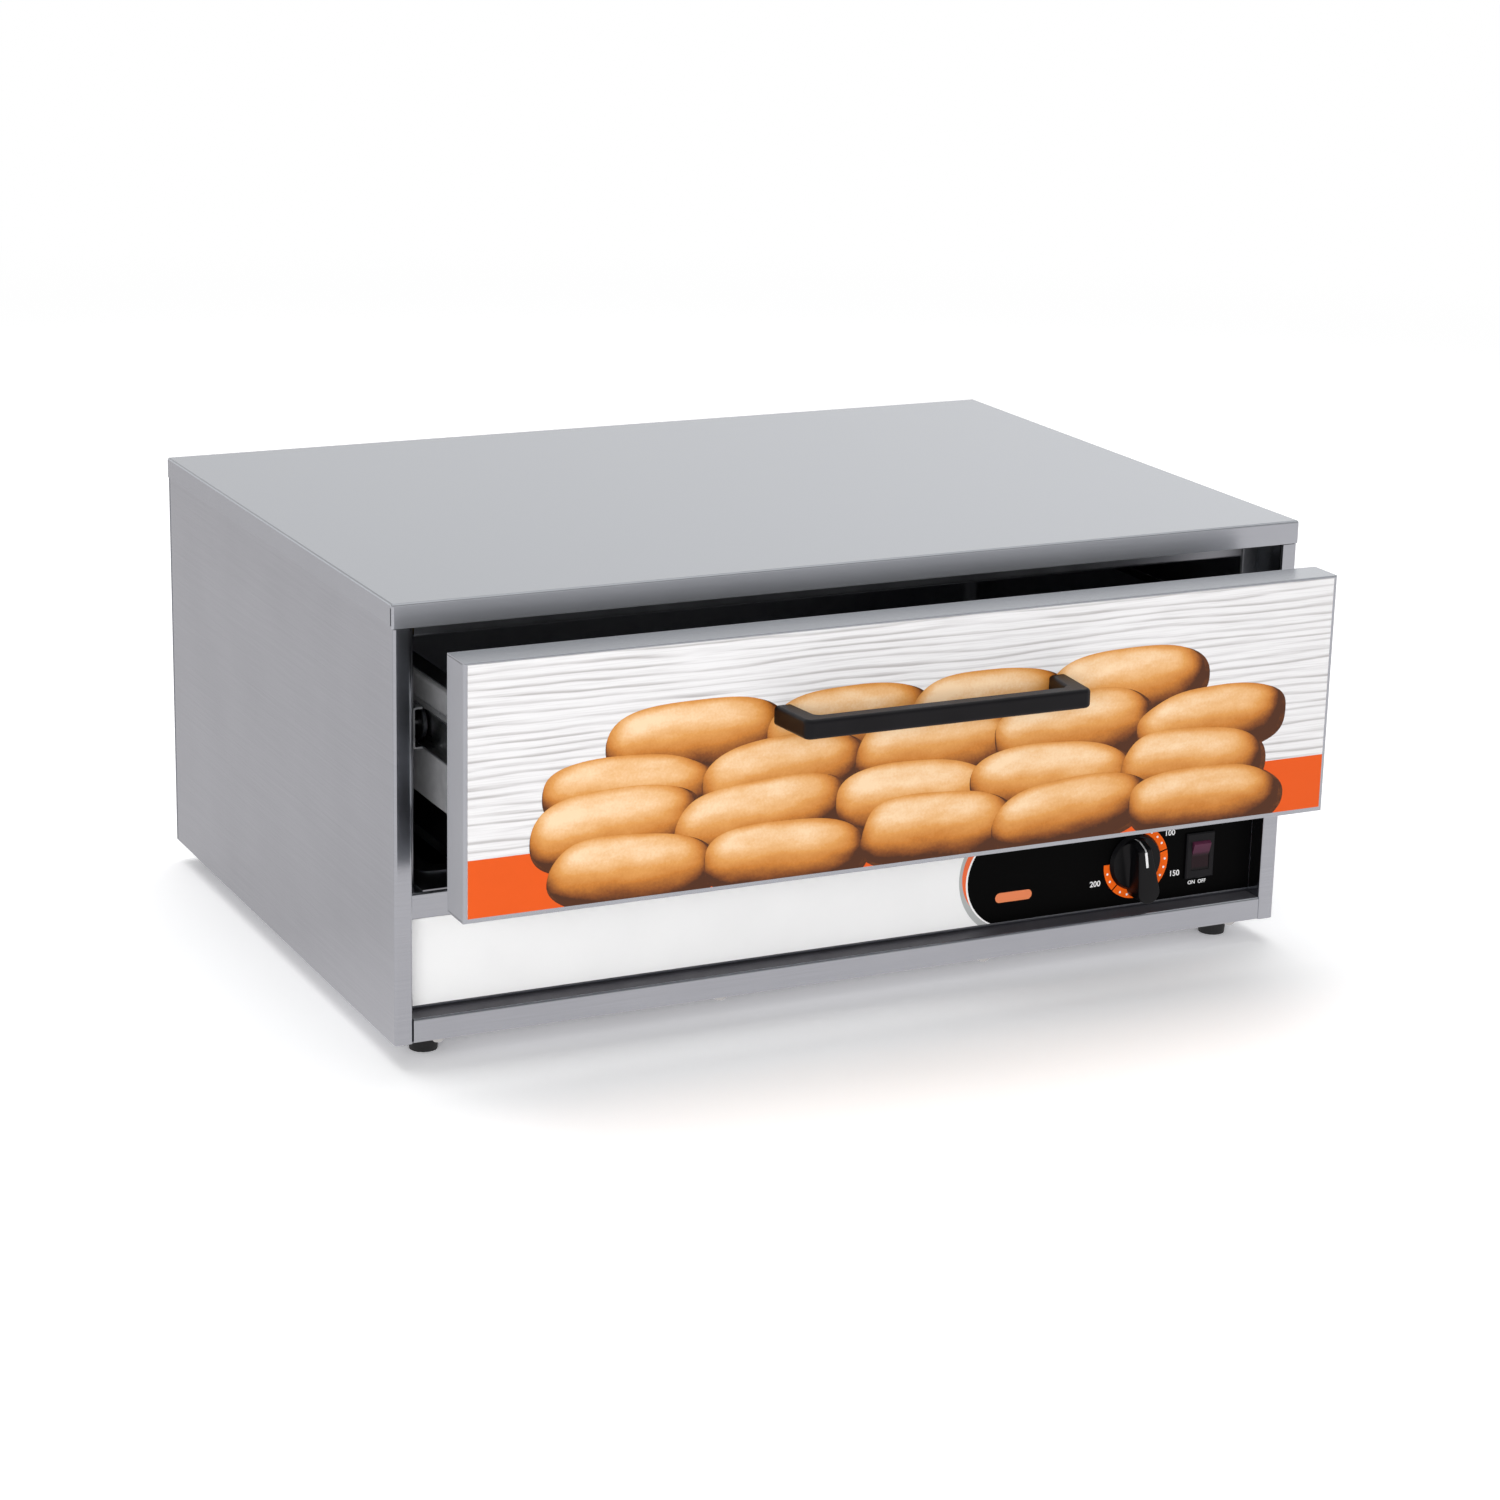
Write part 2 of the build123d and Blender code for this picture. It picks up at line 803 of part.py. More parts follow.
keep(thermostat_body, "thermostat_body")

knob_back = label_front - knob_gap
with BuildPart() as thermostat_shaft:
    shaft_tip = panel_back + shaft_socket
    rod((dial_x, shaft_tip, dial_axis_z), (0, -1, 0), shaft_radius, shaft_length)
keep(thermostat_shaft, "thermostat_shaft")

# Knob: a thin skirt, a hub that is scooped out on both sides, and a grip that leans to the left.
# The grip widens to a tail past the skirt, and its other end slopes down to the hub.
# The back is hollow over the neck.
lean = radians(knob_lean)
knob_across = (cos(lean), 0, sin(lean))
knob_down = (sin(lean), 0, -cos(lean))
knob_seat = (dial_x, knob_back, dial_axis_z)
knob_face = Plane(knob_seat, x_dir=knob_across, z_dir=(0, -1, 0))
knob_middle = Plane(knob_seat, x_dir=(0, -1, 0), z_dir=knob_across)
knob_section = Plane(knob_seat, x_dir=knob_across, z_dir=knob_down)
hub_height = knob_height - knob_ramp_depth
scoop_radius = hub_height - knob_skirt
scoop_x = knob_grip_end_width / 2 + scoop_radius
tail_middle = knob_tail_radius - knob_grip_tail
with BuildPart() as control_knob:
    with BuildSketch(knob_face):
        Circle(knob_radius)
    extrude(amount=knob_skirt, taper=knob_skirt_taper)
    with BuildSketch(knob_face) as hub:
        Circle(knob_grip_end)
    extrude(hub.sketch, amount=hub_height)
    with BuildSketch(knob_section) as scoops:
        for side in (-1, 1):
            with Locations((side * scoop_x, hub_height)):
                Circle(scoop_radius)
            with Locations((side * (scoop_x + knob_radius) / 2, (knob_skirt + hub_height) / 2)):
                Rectangle(knob_radius - scoop_x, scoop_radius)
    extrude(scoops.sketch, amount=knob_radius, both=True, mode=Mode.SUBTRACT)
    with BuildSketch(knob_face) as grip:
        with Locations((0, tail_middle)):
            Circle(knob_tail_radius)
        with BuildLine():
            Polyline(
                (-knob_tail_radius, tail_middle),
                (-knob_grip_end_width / 2, knob_grip_end),
                (knob_grip_end_width / 2, knob_grip_end),
                (knob_tail_radius, tail_middle),
                close=True,
            )
        make_face()
    extrude(grip.sketch, amount=knob_height)
    with BuildSketch(knob_middle) as ramp:
        with BuildLine():
            Polyline(
                (knob_height, knob_grip_end - knob_ramp_reach),
                (knob_height - knob_ramp_depth, knob_grip_end),
                (knob_height, knob_grip_end),
                close=True,
            )
        make_face()
    extrude(ramp.sketch, amount=knob_tail_radius, both=True, mode=Mode.SUBTRACT)
    grip_face = control_knob.faces().sort_by(Axis.Y)[0]
    fillet(grip_face.edges(), radius=knob_edge_radius)
    rod(
        (dial_x, knob_back, dial_axis_z),
        (0, -1, 0),
        shaft_radius + shaft_press_gap,
        knob_back - (shaft_tip - shaft_length) + fit_gap,
        mode=Mode.SUBTRACT,
    )
    rod(
        (dial_x, knob_back, dial_axis_z),
        (0, -1, 0),
        bushing_radius + knob_gap,
        bushing_length,
        mode=Mode.SUBTRACT,
    )
keep(control_knob, "control_knob")

with BuildPart() as knob_pointer:
    with BuildSketch(knob_face.offset(knob_height)):
        with Locations((0, (pointer_start + pointer_end) / 2)):
            Rectangle(pointer_width, pointer_end - pointer_start)
    extrude(amount=pointer_thickness)
keep(knob_pointer, "knob_pointer")

# Sensing bulb low on the right inner wall, its clips, and the capillary tube to it
bulb_x = capillary_x
bulb_y = front + bulb_front
bulb_z = cavity_floor_z + bulb_rise
with BuildPart() as sensing_bulb:
    rod((bulb_x, bulb_y, bulb_z), (0, 1, 0), bulb_radius, bulb_length)
keep(sensing_bulb, "sensing_bulb")

with BuildPart() as bulb_clips:
    for place in (clip_share, 1 - clip_share):
        clip_y = bulb_y + place * bulb_length
        with BuildSketch(Plane.XZ.offset(-clip_y)):
            with Locations((bulb_x, bulb_z)):
                Circle(bulb_radius + fit_gap + clip_strip)
            with Locations((cavity_half - clip_strip / 2, bulb_z + bulb_radius)):
                Rectangle(clip_strip, 4 * bulb_radius)
            with Locations((bulb_x, bulb_z)):
                Circle(bulb_radius + fit_gap, mode=Mode.SUBTRACT)
        extrude(amount=clip_width)
keep(bulb_clips, "bulb_clips")

with BuildPart() as capillary_tube:
    tube_end = (dial_x, panel_back + thermostat_depth, floor + capillary_low)
    tube_start = (bulb_x, bulb_y, bulb_z)
    with BuildLine():
        FilletPolyline(
            tube_start,
            (bulb_x, capillary_y, bulb_z),
            (bulb_x, capillary_y, floor + capillary_low),
            (dial_x, capillary_y, floor + capillary_low),
            tube_end,
            radius=capillary_bend,
        )
    with BuildSketch(Plane(tube_start, z_dir=(0, -1, 0))):
        Circle(capillary_radius)
    sweep()
keep(capillary_tube, "capillary_tube")

# Rocker switch: housing with a round well, and the rocker on two stub pins
bezel_front = label_front - bezel_thickness
rocker_y = bezel_front + rocker_sink
rocker_z = floor + switch_z
with BuildPart() as switch_housing:
    slab(
        (switch_x - bezel_width / 2, switch_x + bezel_width / 2),
        (bezel_front, label_front),
        (rocker_z - bezel_height / 2, rocker_z + bezel_height / 2),
    )
    chamfer(switch_housing.faces().sort_by(Axis.Y)[0].edges(), length=bezel_chamfer)
    slab(
        (switch_x - switch_body_width / 2, switch_x + switch_body_width / 2),
        (label_front, label_front + switch_body_depth),
        (rocker_z - switch_body_height / 2, rocker_z + switch_body_height / 2),
    )
    well_half = rocker_width / 2 + rocker_gap
    rod(
        (switch_x - well_half, rocker_y, rocker_z),
        (1, 0, 0),
        rocker_radius + rocker_gap,
        2 * well_half,
        mode=Mode.SUBTRACT,
    )
    pin_half = rocker_width / 2 + rocker_pin_length + fit_gap
    rod(
        (switch_x - pin_half, rocker_y, rocker_z),
        (1, 0, 0),
        rocker_pin_radius + shaft_running_gap,
        2 * pin_half,
        mode=Mode.SUBTRACT,
    )
keep(switch_housing, "switch_housing")

tilt = radians(rocker_tilt)
with BuildPart() as switch_rocker:
    rocker_plane = Plane(
        (switch_x - rocker_width / 2, rocker_y, rocker_z),
        x_dir=(0, cos(tilt), sin(tilt)),
        z_dir=(1, 0, 0),
    )
    with BuildSketch(rocker_plane):
        Circle(rocker_radius)
        with BuildLine():
            Polyline(
                (rocker_dish - rocker_sink, 0),
                (-rocker_sink - rocker_lip, rocker_radius),
                (-2 * rocker_radius, rocker_radius),
                (-2 * rocker_radius, -rocker_radius),
                (-rocker_sink - rocker_lip, -rocker_radius),
                close=True,
            )
        make_face(mode=Mode.SUBTRACT)
    extrude(amount=rocker_width)
    rod(
        (switch_x - rocker_width / 2 - rocker_pin_length, rocker_y, rocker_z),
        (1, 0, 0),
        rocker_pin_radius,
        rocker_width + 2 * rocker_pin_length,
    )
keep(switch_rocker, "switch_rocker")

with BuildPart() as switch_terminals:
    tab_y = label_front + switch_body_depth
    for row in (-1, 0, 1):
        tab_z = rocker_z + row * tab_pitch
        slab(
            (switch_x - tab_width / 2, switch_x + tab_width / 2),
            (tab_y, tab_y + tab_length),
            (tab_z - tab_thickness / 2, tab_z + tab_thickness / 2),
        )
keep(switch_terminals, "switch_terminals")

# Terminal block on the base pan
with BuildPart() as terminal_block:
    block_y = back - terminal_block_back
    slab(
        (bushing_x - terminal_block_length / 2, bushing_x + terminal_block_length / 2),
        (block_y - terminal_block_width / 2, block_y + terminal_block_width / 2),
        (base_z, base_z + terminal_block_height),
    )
    with BuildSketch(Plane.XY.offset(base_z + terminal_block_height)):
        with Locations((bushing_x, block_y)):
            with GridLocations(terminal_block_length / 3, terminal_block_width / 2, 3, 2):
                Circle(terminal_well)
    extrude(amount=-terminal_block_height / 2, mode=Mode.SUBTRACT)
keep(terminal_block, "terminal_block")

# Rubber feet with a recess for the screw
with BuildPart() as rubber_feet:
    for x in (-foot_x, foot_x):
        for y in foot_y:
            with BuildSketch(Plane((x, y, 0))):
                Circle(foot_tip_radius)
            with BuildSketch(Plane((x, y, floor))):
                Circle(foot_radius)
            loft()
            rod((x, y, 0), (0, 0, 1), foot_recess_radius, foot_recess, mode=Mode.SUBTRACT)
            rod((x, y, 0), (0, 0, 1), screw_radius + screw_hole_gap, floor, mode=Mode.SUBTRACT)
keep(rubber_feet, "rubber_feet")

with BuildPart() as foot_screws:
    for x in (-foot_x, foot_x):
        for y in foot_y:
            screw(
                (x, y, foot_recess),
                (0, 0, 1),
                foot_screw_head,
                foot_screw_head_height,
                screw_radius,
                base_z - foot_recess + foot_screw_reach,
            )
keep(foot_screws, "foot_screws")

with BuildPart() as rail_screws:
    for x in rail_screw_x:
        screw(
            (x, rail_screw_y, floor),
            (0, 0, 1),
            rail_screw_head,
            rail_screw_head_height,
            screw_radius,
            2 * sheet + foot_screw_reach / 2,
        )
    heads = rail_screws.faces().filter_by(Plane.XY).group_by(Axis.Z)[0]
    chamfer(heads.edges().filter_by(GeomType.CIRCLE), length=rail_screw_dome)
keep(rail_screws, "rail_screws")

with BuildPart() as case_screws:
    for x in (-case_screw_x, case_screw_x):
        for z in case_screw_z + [cover_screw_z]:
            screw(
                (x, back, z),
                (0, -1, 0),
                case_screw_head,
                case_screw_head_height,
                screw_radius,
                case_screw_length,
            )
keep(case_screws, "case_screws")

# Drawer front: a folded shell, a filling and a liner behind
with BuildPart() as drawer_front_shell:
    drawer_half = half_width - drawer_side_margin
    slab((-drawer_half, drawer_half), (drawer_front, drawer_rear_face), (drawer_bottom, drawer_top))
    fillet(drawer_front_shell.faces().sort_by(Axis.Y)[0].edges(), radius=sheet)
    slab(
        (sheet - drawer_half, drawer_half - sheet),
        (drawer_front + sheet, drawer_rear_face),
        (drawer_bottom + sheet, drawer_top - sheet),
        mode=Mode.SUBTRACT,
    )
    # the flanges meet in open corners, as they do when a sheet is folded on four sides
    for z in (drawer_bottom + sheet, drawer_top - sheet - drawer_corner_gap):
        slab(
            (-drawer_half, drawer_half),
            (drawer_front + 2 * sheet, drawer_rear_face),
            (z, z + drawer_corner_gap),
            mode=Mode.SUBTRACT,
        )
    for x in (-handle_width / 2 + handle_leg / 2, handle_width / 2 - handle_leg / 2):
        rod((x, drawer_front, handle_z), (0, 1, 0), handle_screw_radius, sheet, mode=Mode.SUBTRACT)
keep(drawer_front_shell, "drawer_front")

handle_screw_x = (handle_width - handle_leg) / 2
with BuildPart() as drawer_filling:
    slab(
        (sheet + blanket_gap - drawer_half, drawer_half - sheet - blanket_gap),
        (drawer_front + sheet + fit_gap, drawer_rear_face - sheet - fit_gap),
        (drawer_bottom + sheet + blanket_gap, drawer_top - sheet - blanket_gap),
    )
    for x in (-handle_screw_x, handle_screw_x):
        rod(
            (x, drawer_front, handle_z),
            (0, 1, 0),
            handle_screw_radius + blanket_gap,
            drawer_thickness,
            mode=Mode.SUBTRACT,
        )
keep(drawer_filling, "drawer_filling")

with BuildPart() as drawer_liner:
    slab(
        (sheet + fit_gap - drawer_half, drawer_half - sheet - fit_gap),
        (drawer_rear_face - sheet, drawer_rear_face),
        (drawer_bottom + sheet + fit_gap, drawer_top - sheet - fit_gap),
    )
    for x in (-handle_screw_x, handle_screw_x):
        rod(
            (x, drawer_rear_face, handle_z),
            (0, -1, 0),
            handle_screw_radius,
            sheet,
            mode=Mode.SUBTRACT,
        )
keep(drawer_liner, "drawer_liner")

with BuildPart() as front_print:
    slab(
        (print_side_border - drawer_half, drawer_half - print_side_border),
        (drawer_front - print_thickness, drawer_front),
        (drawer_bottom + print_bottom_border, drawer_top - print_top_border),
    )
    for x in (-handle_screw_x, handle_screw_x):
        rod(
            (x, drawer_front, handle_z),
            (0, -1, 0),
            handle_screw_radius,
            print_thickness,
            mode=Mode.SUBTRACT,
        )
keep(front_print, "front_print")

# Handle: a moulded D whose legs lean in towards the bar
with BuildPart() as handle:
    handle_face = drawer_front - print_thickness
    bar_front = handle_face - handle_reach
    bar_back = bar_front + handle_bar_depth
    with BuildSketch(Plane.XY.offset(handle_z - handle_height / 2)) as handle_plan:
        with BuildLine():
            Polyline(
                (-handle_width / 2, handle_face),
                (-handle_bar_width / 2, bar_front),
                (handle_bar_width / 2, bar_front),
                (handle_width / 2, handle_face),
                (handle_width / 2 - handle_leg, handle_face),
                (handle_bar_width / 2 - handle_leg, bar_back),
                (handle_leg - handle_bar_width / 2, bar_back),
                (handle_leg - handle_width / 2, handle_face),
                close=True,
            )
        make_face()
        fillet(handle_plan.vertices().group_by(Axis.Y)[0], radius=handle_corner)
        fillet(handle_plan.vertices().group_by(Axis.Y)[-2], radius=handle_inner_corner)
    extrude(amount=handle_height)
    rims = handle.faces().filter_by(Axis.Z).edges()
    fillet(rims - rims.group_by(Axis.Y)[-1], radius=handle_edge)
    for x in (-handle_screw_x, handle_screw_x):
        rod((x, handle_face, handle_z), (0, -1, 0), handle_screw_radius, handle_leg, mode=Mode.SUBTRACT)
keep(handle, "handle")

with BuildPart() as handle_screws:
    for x in (-handle_screw_x, handle_screw_x):
        screw(
            (x, drawer_rear_face, handle_z),
            (0, -1, 0),
            2 * handle_screw_radius,
            handle_screw_radius,
            handle_screw_radius - fit_gap,
            drawer_thickness + print_thickness + handle_leg - fit_gap,
        )
keep(handle_screws, "handle_screws")

# Hanger plates: the drawer's sides, flanged in at the top for the bun pan and at the front
with BuildPart() as hanger:
    folded_sheet(
        Plane.XZ.offset(-drawer_back),
        [
            (hanger_thickness / 2 - hanger_x, hanger_bottom),
            (hanger_thickness / 2 - hanger_x, hanger_top - hanger_thickness / 2),
            (hanger_flange - hanger_x, hanger_top - hanger_thickness / 2),
        ],
        drawer_back - drawer_rear_face,
        hanger_thickness,
    )
    slab(
        (hanger_thickness - hanger_x, hanger_flange - hanger_x),
        (drawer_rear_face, drawer_rear_face + hanger_thickness),
        (hanger_bottom, hanger_top - hanger_thickness),
    )
    notch_y = drawer_front + hanger_notch_back
    slab(
        (-hanger_x, hanger_thickness - hanger_x),
        (notch_y - hanger_notch_width / 2, notch_y + hanger_notch_width / 2),
        (slide_bottom - hanger_notch_height, slide_bottom),
        mode=Mode.SUBTRACT,
    )
keep_pair(hanger, "drawer_hanger")

with BuildPart() as drawer_back_plate:
    back_half = hanger_x - hanger_thickness - fit_gap
    slab(
        (-back_half, back_half),
        (drawer_back - hanger_thickness, drawer_back),
        (hanger_bottom, hanger_top - hanger_thickness - bend_radius),
    )
keep(drawer_back_plate, "drawer_back")

# Bun pan: a deep slotted tray that hangs by its rim
with BuildPart() as bun_pan:
    pan_half = hanger_x - hanger_flange - pan_side_gap
    pan_front = drawer_rear_face + pan_rim + pan_end_gap
    pan_back = drawer_back - hanger_thickness - pan_end_gap
    pan_middle = (pan_front + pan_back) / 2
    slab((-pan_half, pan_half), (pan_front, pan_back), (pan_floor, hanger_top + sheet))
    fillet(bun_pan.edges().filter_by(Axis.Z), radius=pan_corner)
    offset(amount=-sheet, openings=bun_pan.faces().sort_by(Axis.Z)[-1])
    with BuildSketch(Plane.XY.offset(hanger_top)):
        with Locations((0, pan_middle)):
            rim_length = pan_back - pan_front + 2 * pan_end_gap
            RectangleRounded(2 * (pan_half + pan_rim), rim_length, pan_corner)
            RectangleRounded(
                2 * (pan_half - sheet),
                pan_back - pan_front - 2 * sheet,
                pan_corner - sheet,
                mode=Mode.SUBTRACT,
            )
    extrude(amount=sheet)
    with BuildSketch(Plane.XY.offset(pan_floor)):
        slot_pitch_x = 2 * pan_half / (pan_slot_columns + 1)
        slot_pitch_y = (pan_back - pan_front) / pan_slot_rows
        with Locations((0, pan_middle)):
            with GridLocations(slot_pitch_x, slot_pitch_y, pan_slot_columns, pan_slot_rows):
                SlotOverall(pan_slot_length, pan_slot_width, rotation=90)
    extrude(amount=sheet, mode=Mode.SUBTRACT)
keep(bun_pan, "bun_pan")

# Roller slides. Each side has two channels of one height, side by side, that face each
# other. The cabinet's channel carries the front roller, which runs in the drawer's channel.
# The drawer's channel carries the rear roller, which runs in the cabinet's channel.
slide_y = front + slide_front
drawer_slide_y = drawer_rear_face + slide_nose
front_roller_y = slide_y + roller_front_inset
rear_roller_y = drawer_slide_y + slide_length - roller_rear_inset
channel_middle = slide_sheet / 2


def channel(web_x, open_to, start_y):
    """Add a channel section whose web stands at web_x and whose flanges point to open_to."""
    folded_sheet(
        Plane.XZ.offset(-start_y - slide_length),
        [
            (web_x + open_to * slide_channel, slide_bottom + channel_middle),
            (web_x + open_to * channel_middle, slide_bottom + channel_middle),
            (web_x + open_to * channel_middle, slide_top - channel_middle),
            (web_x + open_to * slide_channel, slide_top - channel_middle),
        ],
        slide_length,
        slide_sheet,
    )


# stops pressed into the cabinet's channel, one ahead of the rear roller's path, one behind it
stop_reach = roller_radius + roller_gap
open_stop_y = rear_roller_y + drawer_open - drawer_travel - stop_reach - stop_thickness
closed_stop_y = rear_roller_y + drawer_open + stop_reach
with BuildPart() as slide_cabinet:
    channel(-cavity_half, 1, slide_y)
    for stop_y in (open_stop_y, closed_stop_y):
        slab(
            (slide_sheet - cavity_half, slide_channel - cavity_half),
            (stop_y, stop_y + stop_thickness),
            (slide_bottom + slide_sheet, slide_bottom + slide_sheet + stop_height),
        )
    rod(
        (-cavity_half, front_roller_y, slide_middle),
        (1, 0, 0),
        pin_radius + pin_running_gap,
        slide_sheet,
        mode=Mode.SUBTRACT,
    )
keep_pair(slide_cabinet, "slide_cabinet")

with BuildPart() as slide_drawer:
    channel(-hanger_x, -1, drawer_slide_y)
    rod(
        (-hanger_x, rear_roller_y, slide_middle),
        (-1, 0, 0),
        pin_radius + pin_running_gap,
        slide_sheet,
        mode=Mode.SUBTRACT,
    )
keep_pair(slide_drawer, "slide_drawer")

roller_play = (slide_thickness / 2 - slide_sheet - roller_width) / 2
front_roller_x = -hanger_x - slide_sheet - roller_play - roller_width
rear_roller_x = -cavity_half + slide_sheet + roller_play


def roller(start_x, centre_y):
    """Add a grooved steel roller on an axis along X, bored for its pin."""
    with BuildSketch(Plane((start_x, centre_y, slide_middle), z_dir=(1, 0, 0))) as section:
        Circle(roller_radius)
        Circle(pin_radius + pin_running_gap, mode=Mode.SUBTRACT)
    extrude(section.sketch, amount=roller_width)


for name, start_x, centre_y in (
    ("front_roller", front_roller_x, front_roller_y),
    ("rear_roller", rear_roller_x, rear_roller_y),
):
    with BuildPart() as slide_roller:
        roller(start_x, centre_y)
        rim = slide_roller.edges().filter_by(GeomType.CIRCLE).group_by(SortBy.RADIUS)[-1]
        chamfer(rim, length=roller_groove)
    keep_pair(slide_roller, name)

# Riveted pins of the rollers
with BuildPart() as front_roller_pins:
    for x in (-1, 1):
        rod(
            (x * cavity_half, front_roller_y, slide_middle),
            (-x, 0, 0),
            pin_radius,
            cavity_half + front_roller_x + roller_width,
        )
        collar = -front_roller_x - roller_width
        rod((x * collar, front_roller_y, slide_middle), (-x, 0, 0), pin_head_radius, roller_play)
keep(front_roller_pins, "front_roller_pins")

with BuildPart() as rear_roller_pins:
    for x in (-1, 1):
        rod(
            (x * hanger_x, rear_roller_y, slide_middle),
            (x, 0, 0),
            pin_radius,
            -rear_roller_x - hanger_x,
        )
        rod((x * -rear_roller_x, rear_roller_y, slide_middle), (x, 0, 0), pin_head_radius, roller_play)
keep(rear_roller_pins, "rear_roller_pins")
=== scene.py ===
# %% [markdown]
# # Dressing a countertop bun warmer
# The real object is a folded stainless steel cabinet with one wide drawer, a printed drawer
# front and a small control panel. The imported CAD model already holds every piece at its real
# size, so this script gives the pieces their finish, adds what is printed on them, and sets up
# a plain studio.

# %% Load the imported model
import json
import math
import random

import bmesh
import bpy
from mathutils import Matrix, Vector


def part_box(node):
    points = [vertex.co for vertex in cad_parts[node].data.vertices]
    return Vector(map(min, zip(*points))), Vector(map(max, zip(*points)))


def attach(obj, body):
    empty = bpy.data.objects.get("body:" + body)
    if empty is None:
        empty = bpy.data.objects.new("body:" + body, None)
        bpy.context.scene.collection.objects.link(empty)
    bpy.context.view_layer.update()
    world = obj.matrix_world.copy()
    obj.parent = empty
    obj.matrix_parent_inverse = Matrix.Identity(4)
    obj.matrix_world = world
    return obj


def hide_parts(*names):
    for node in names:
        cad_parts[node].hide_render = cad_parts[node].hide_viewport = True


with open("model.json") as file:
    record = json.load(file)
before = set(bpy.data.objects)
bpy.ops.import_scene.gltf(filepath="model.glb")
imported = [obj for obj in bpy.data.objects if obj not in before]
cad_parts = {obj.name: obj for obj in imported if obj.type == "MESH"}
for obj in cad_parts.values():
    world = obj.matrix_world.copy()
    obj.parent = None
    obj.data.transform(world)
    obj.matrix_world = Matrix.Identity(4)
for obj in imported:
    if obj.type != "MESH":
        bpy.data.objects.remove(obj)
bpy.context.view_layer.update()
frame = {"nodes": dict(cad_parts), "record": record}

nodes = frame["nodes"]
MM = 0.001
print("nodes:", len(nodes))

# %% [markdown]
# A colour is easiest to pick as the hex value that a paint program shows. Cycles works with
# linear light, so one function turns such a value into linear numbers. One more function adds
# a shader node, with its settings and its inputs, so that a material reads as a list of steps.
# Inputs go by name, or by number where names repeat: a Mix node mixes its inputs 2 and 3 as
# numbers, and 6 and 7 as colours. Two more helpers make a colour ramp, and stretch a noise,
# whose values mostly lie between 0.3 and 0.7.

# %% Helpers for colours and shader nodes
def linear(code):
    """Turn an sRGB hex value into linear red, green, blue and alpha."""
    parts = [int(code[i:i + 2], 16) / 255 for i in (1, 3, 5)]
    curved = [p / 12.92 if p <= 0.04045 else ((p + 0.055) / 1.055) ** 2.4 for p in parts]
    return (*curved, 1.0)


def add(tree, kind, inputs=None, **settings):
    """Add a shader node with its settings, and fill or link its inputs."""
    made = tree.nodes.new("ShaderNode" + kind)
    for name, value in settings.items():
        setattr(made, name, value)
    for name, value in (inputs or {}).items():
        if isinstance(value, bpy.types.NodeSocket):
            tree.links.new(value, made.inputs[name])
        else:
            made.inputs[name].default_value = value
    return made


def colour_ramp(tree, value, stops):
    """Turn a value into a colour with stops of a position and a hex colour or a grey level."""
    made = add(tree, "ValToRGB", {"Fac": value})
    elements = made.color_ramp.elements
    while len(elements) < len(stops):
        elements.new(0.5)
    for element, (position, shade) in zip(elements, stops):
        element.position = position
        element.color = linear(shade) if isinstance(shade, str) else (shade, shade, shade, 1)
    return made.outputs[0]


def stretch_noise(tree, noise, low, high):
    """Spread the usual values of a noise over the range from low to high."""
    made = add(tree, "MapRange", {
        "Value": noise, "From Min": 0.3, "From Max": 0.7, "To Min": low, "To Max": high,
    })
    return made.outputs[0]


def start_material(name):
    """Make an empty node material and return it with its tree."""
    material = bpy.data.materials.new(name)
    material.use_nodes = True
    material.node_tree.nodes.clear()
    return material, material.node_tree


print("mid grey is", round(linear("#808080")[0], 3), "in linear light")

# %% [markdown]
# The photograph was taken from above the left front of the cabinet with a long lens. The place
# and the angles come from the corners of the cabinet. A camera could be aimed with a tracking
# constraint, but plain angles keep the slight roll of the picture.

# %% Place the camera
CAMERA_PLACE = Vector((-1.0153, -2.0647, 0.8002))
CAMERA_YAW = math.radians(26.207)
CAMERA_PITCH = math.radians(16.488)
CAMERA_ROLL = math.radians(1.346)
CAMERA_LENS = 87.216

forward = Vector((
    math.sin(CAMERA_YAW) * math.cos(CAMERA_PITCH),
    math.cos(CAMERA_YAW) * math.cos(CAMERA_PITCH),
    -math.sin(CAMERA_PITCH),
))
level_right = Vector((math.cos(CAMERA_YAW), -math.sin(CAMERA_YAW), 0))
level_up = level_right.cross(forward)
right = math.cos(CAMERA_ROLL) * level_right + math.sin(CAMERA_ROLL) * level_up
up = math.cos(CAMERA_ROLL) * level_up - math.sin(CAMERA_ROLL) * level_right
turn = Matrix((right, up, -forward)).transposed().to_4x4()

camera_data = bpy.data.cameras.new("camera")
camera_data.lens = CAMERA_LENS
camera = bpy.data.objects.new("camera", camera_data)
camera.matrix_world = Matrix.Translation(CAMERA_PLACE) @ turn
bpy.context.scene.collection.objects.link(camera)
bpy.context.scene.camera = camera
print("camera stands", round(CAMERA_PLACE.length, 2), "m from the origin")

# %% [markdown]
# Steel shows what stands round it, so the studio matters as much as the metal. The world is
# white to the camera and to glass, and dimmer as a light, which leaves room for two soft lamps.
# Mirrors see a studio instead: pale walls low down and a pale ceiling, with a darker band
# between them, and a dim side behind the camera, which keeps the drawer's inside dark. Each band
# is a height from -1 to 1 with its brightness. The lamps themselves don't show in mirrors. A
# picture of a studio could do the same, but these numbers can be read and changed.

# %% Light the studio
WORLD_LIGHT = 0.50
STUDIO_BANDS = ((-1.0, 0.60), (0.0, 0.60), (0.02, 1.1), (0.30, 1.1), (0.42, 0.42), (0.62, 0.32),
                (0.80, 0.85), (1.0, 1.0))
DIM_SIDE, DIM_SIDE_EDGE = 0.5, (-0.5, -0.1)
CEILING_EDGE = (0.62, 0.82)
LEFT_LEVEL, LEFT_EDGE = 0.80, (0.25, 0.60)

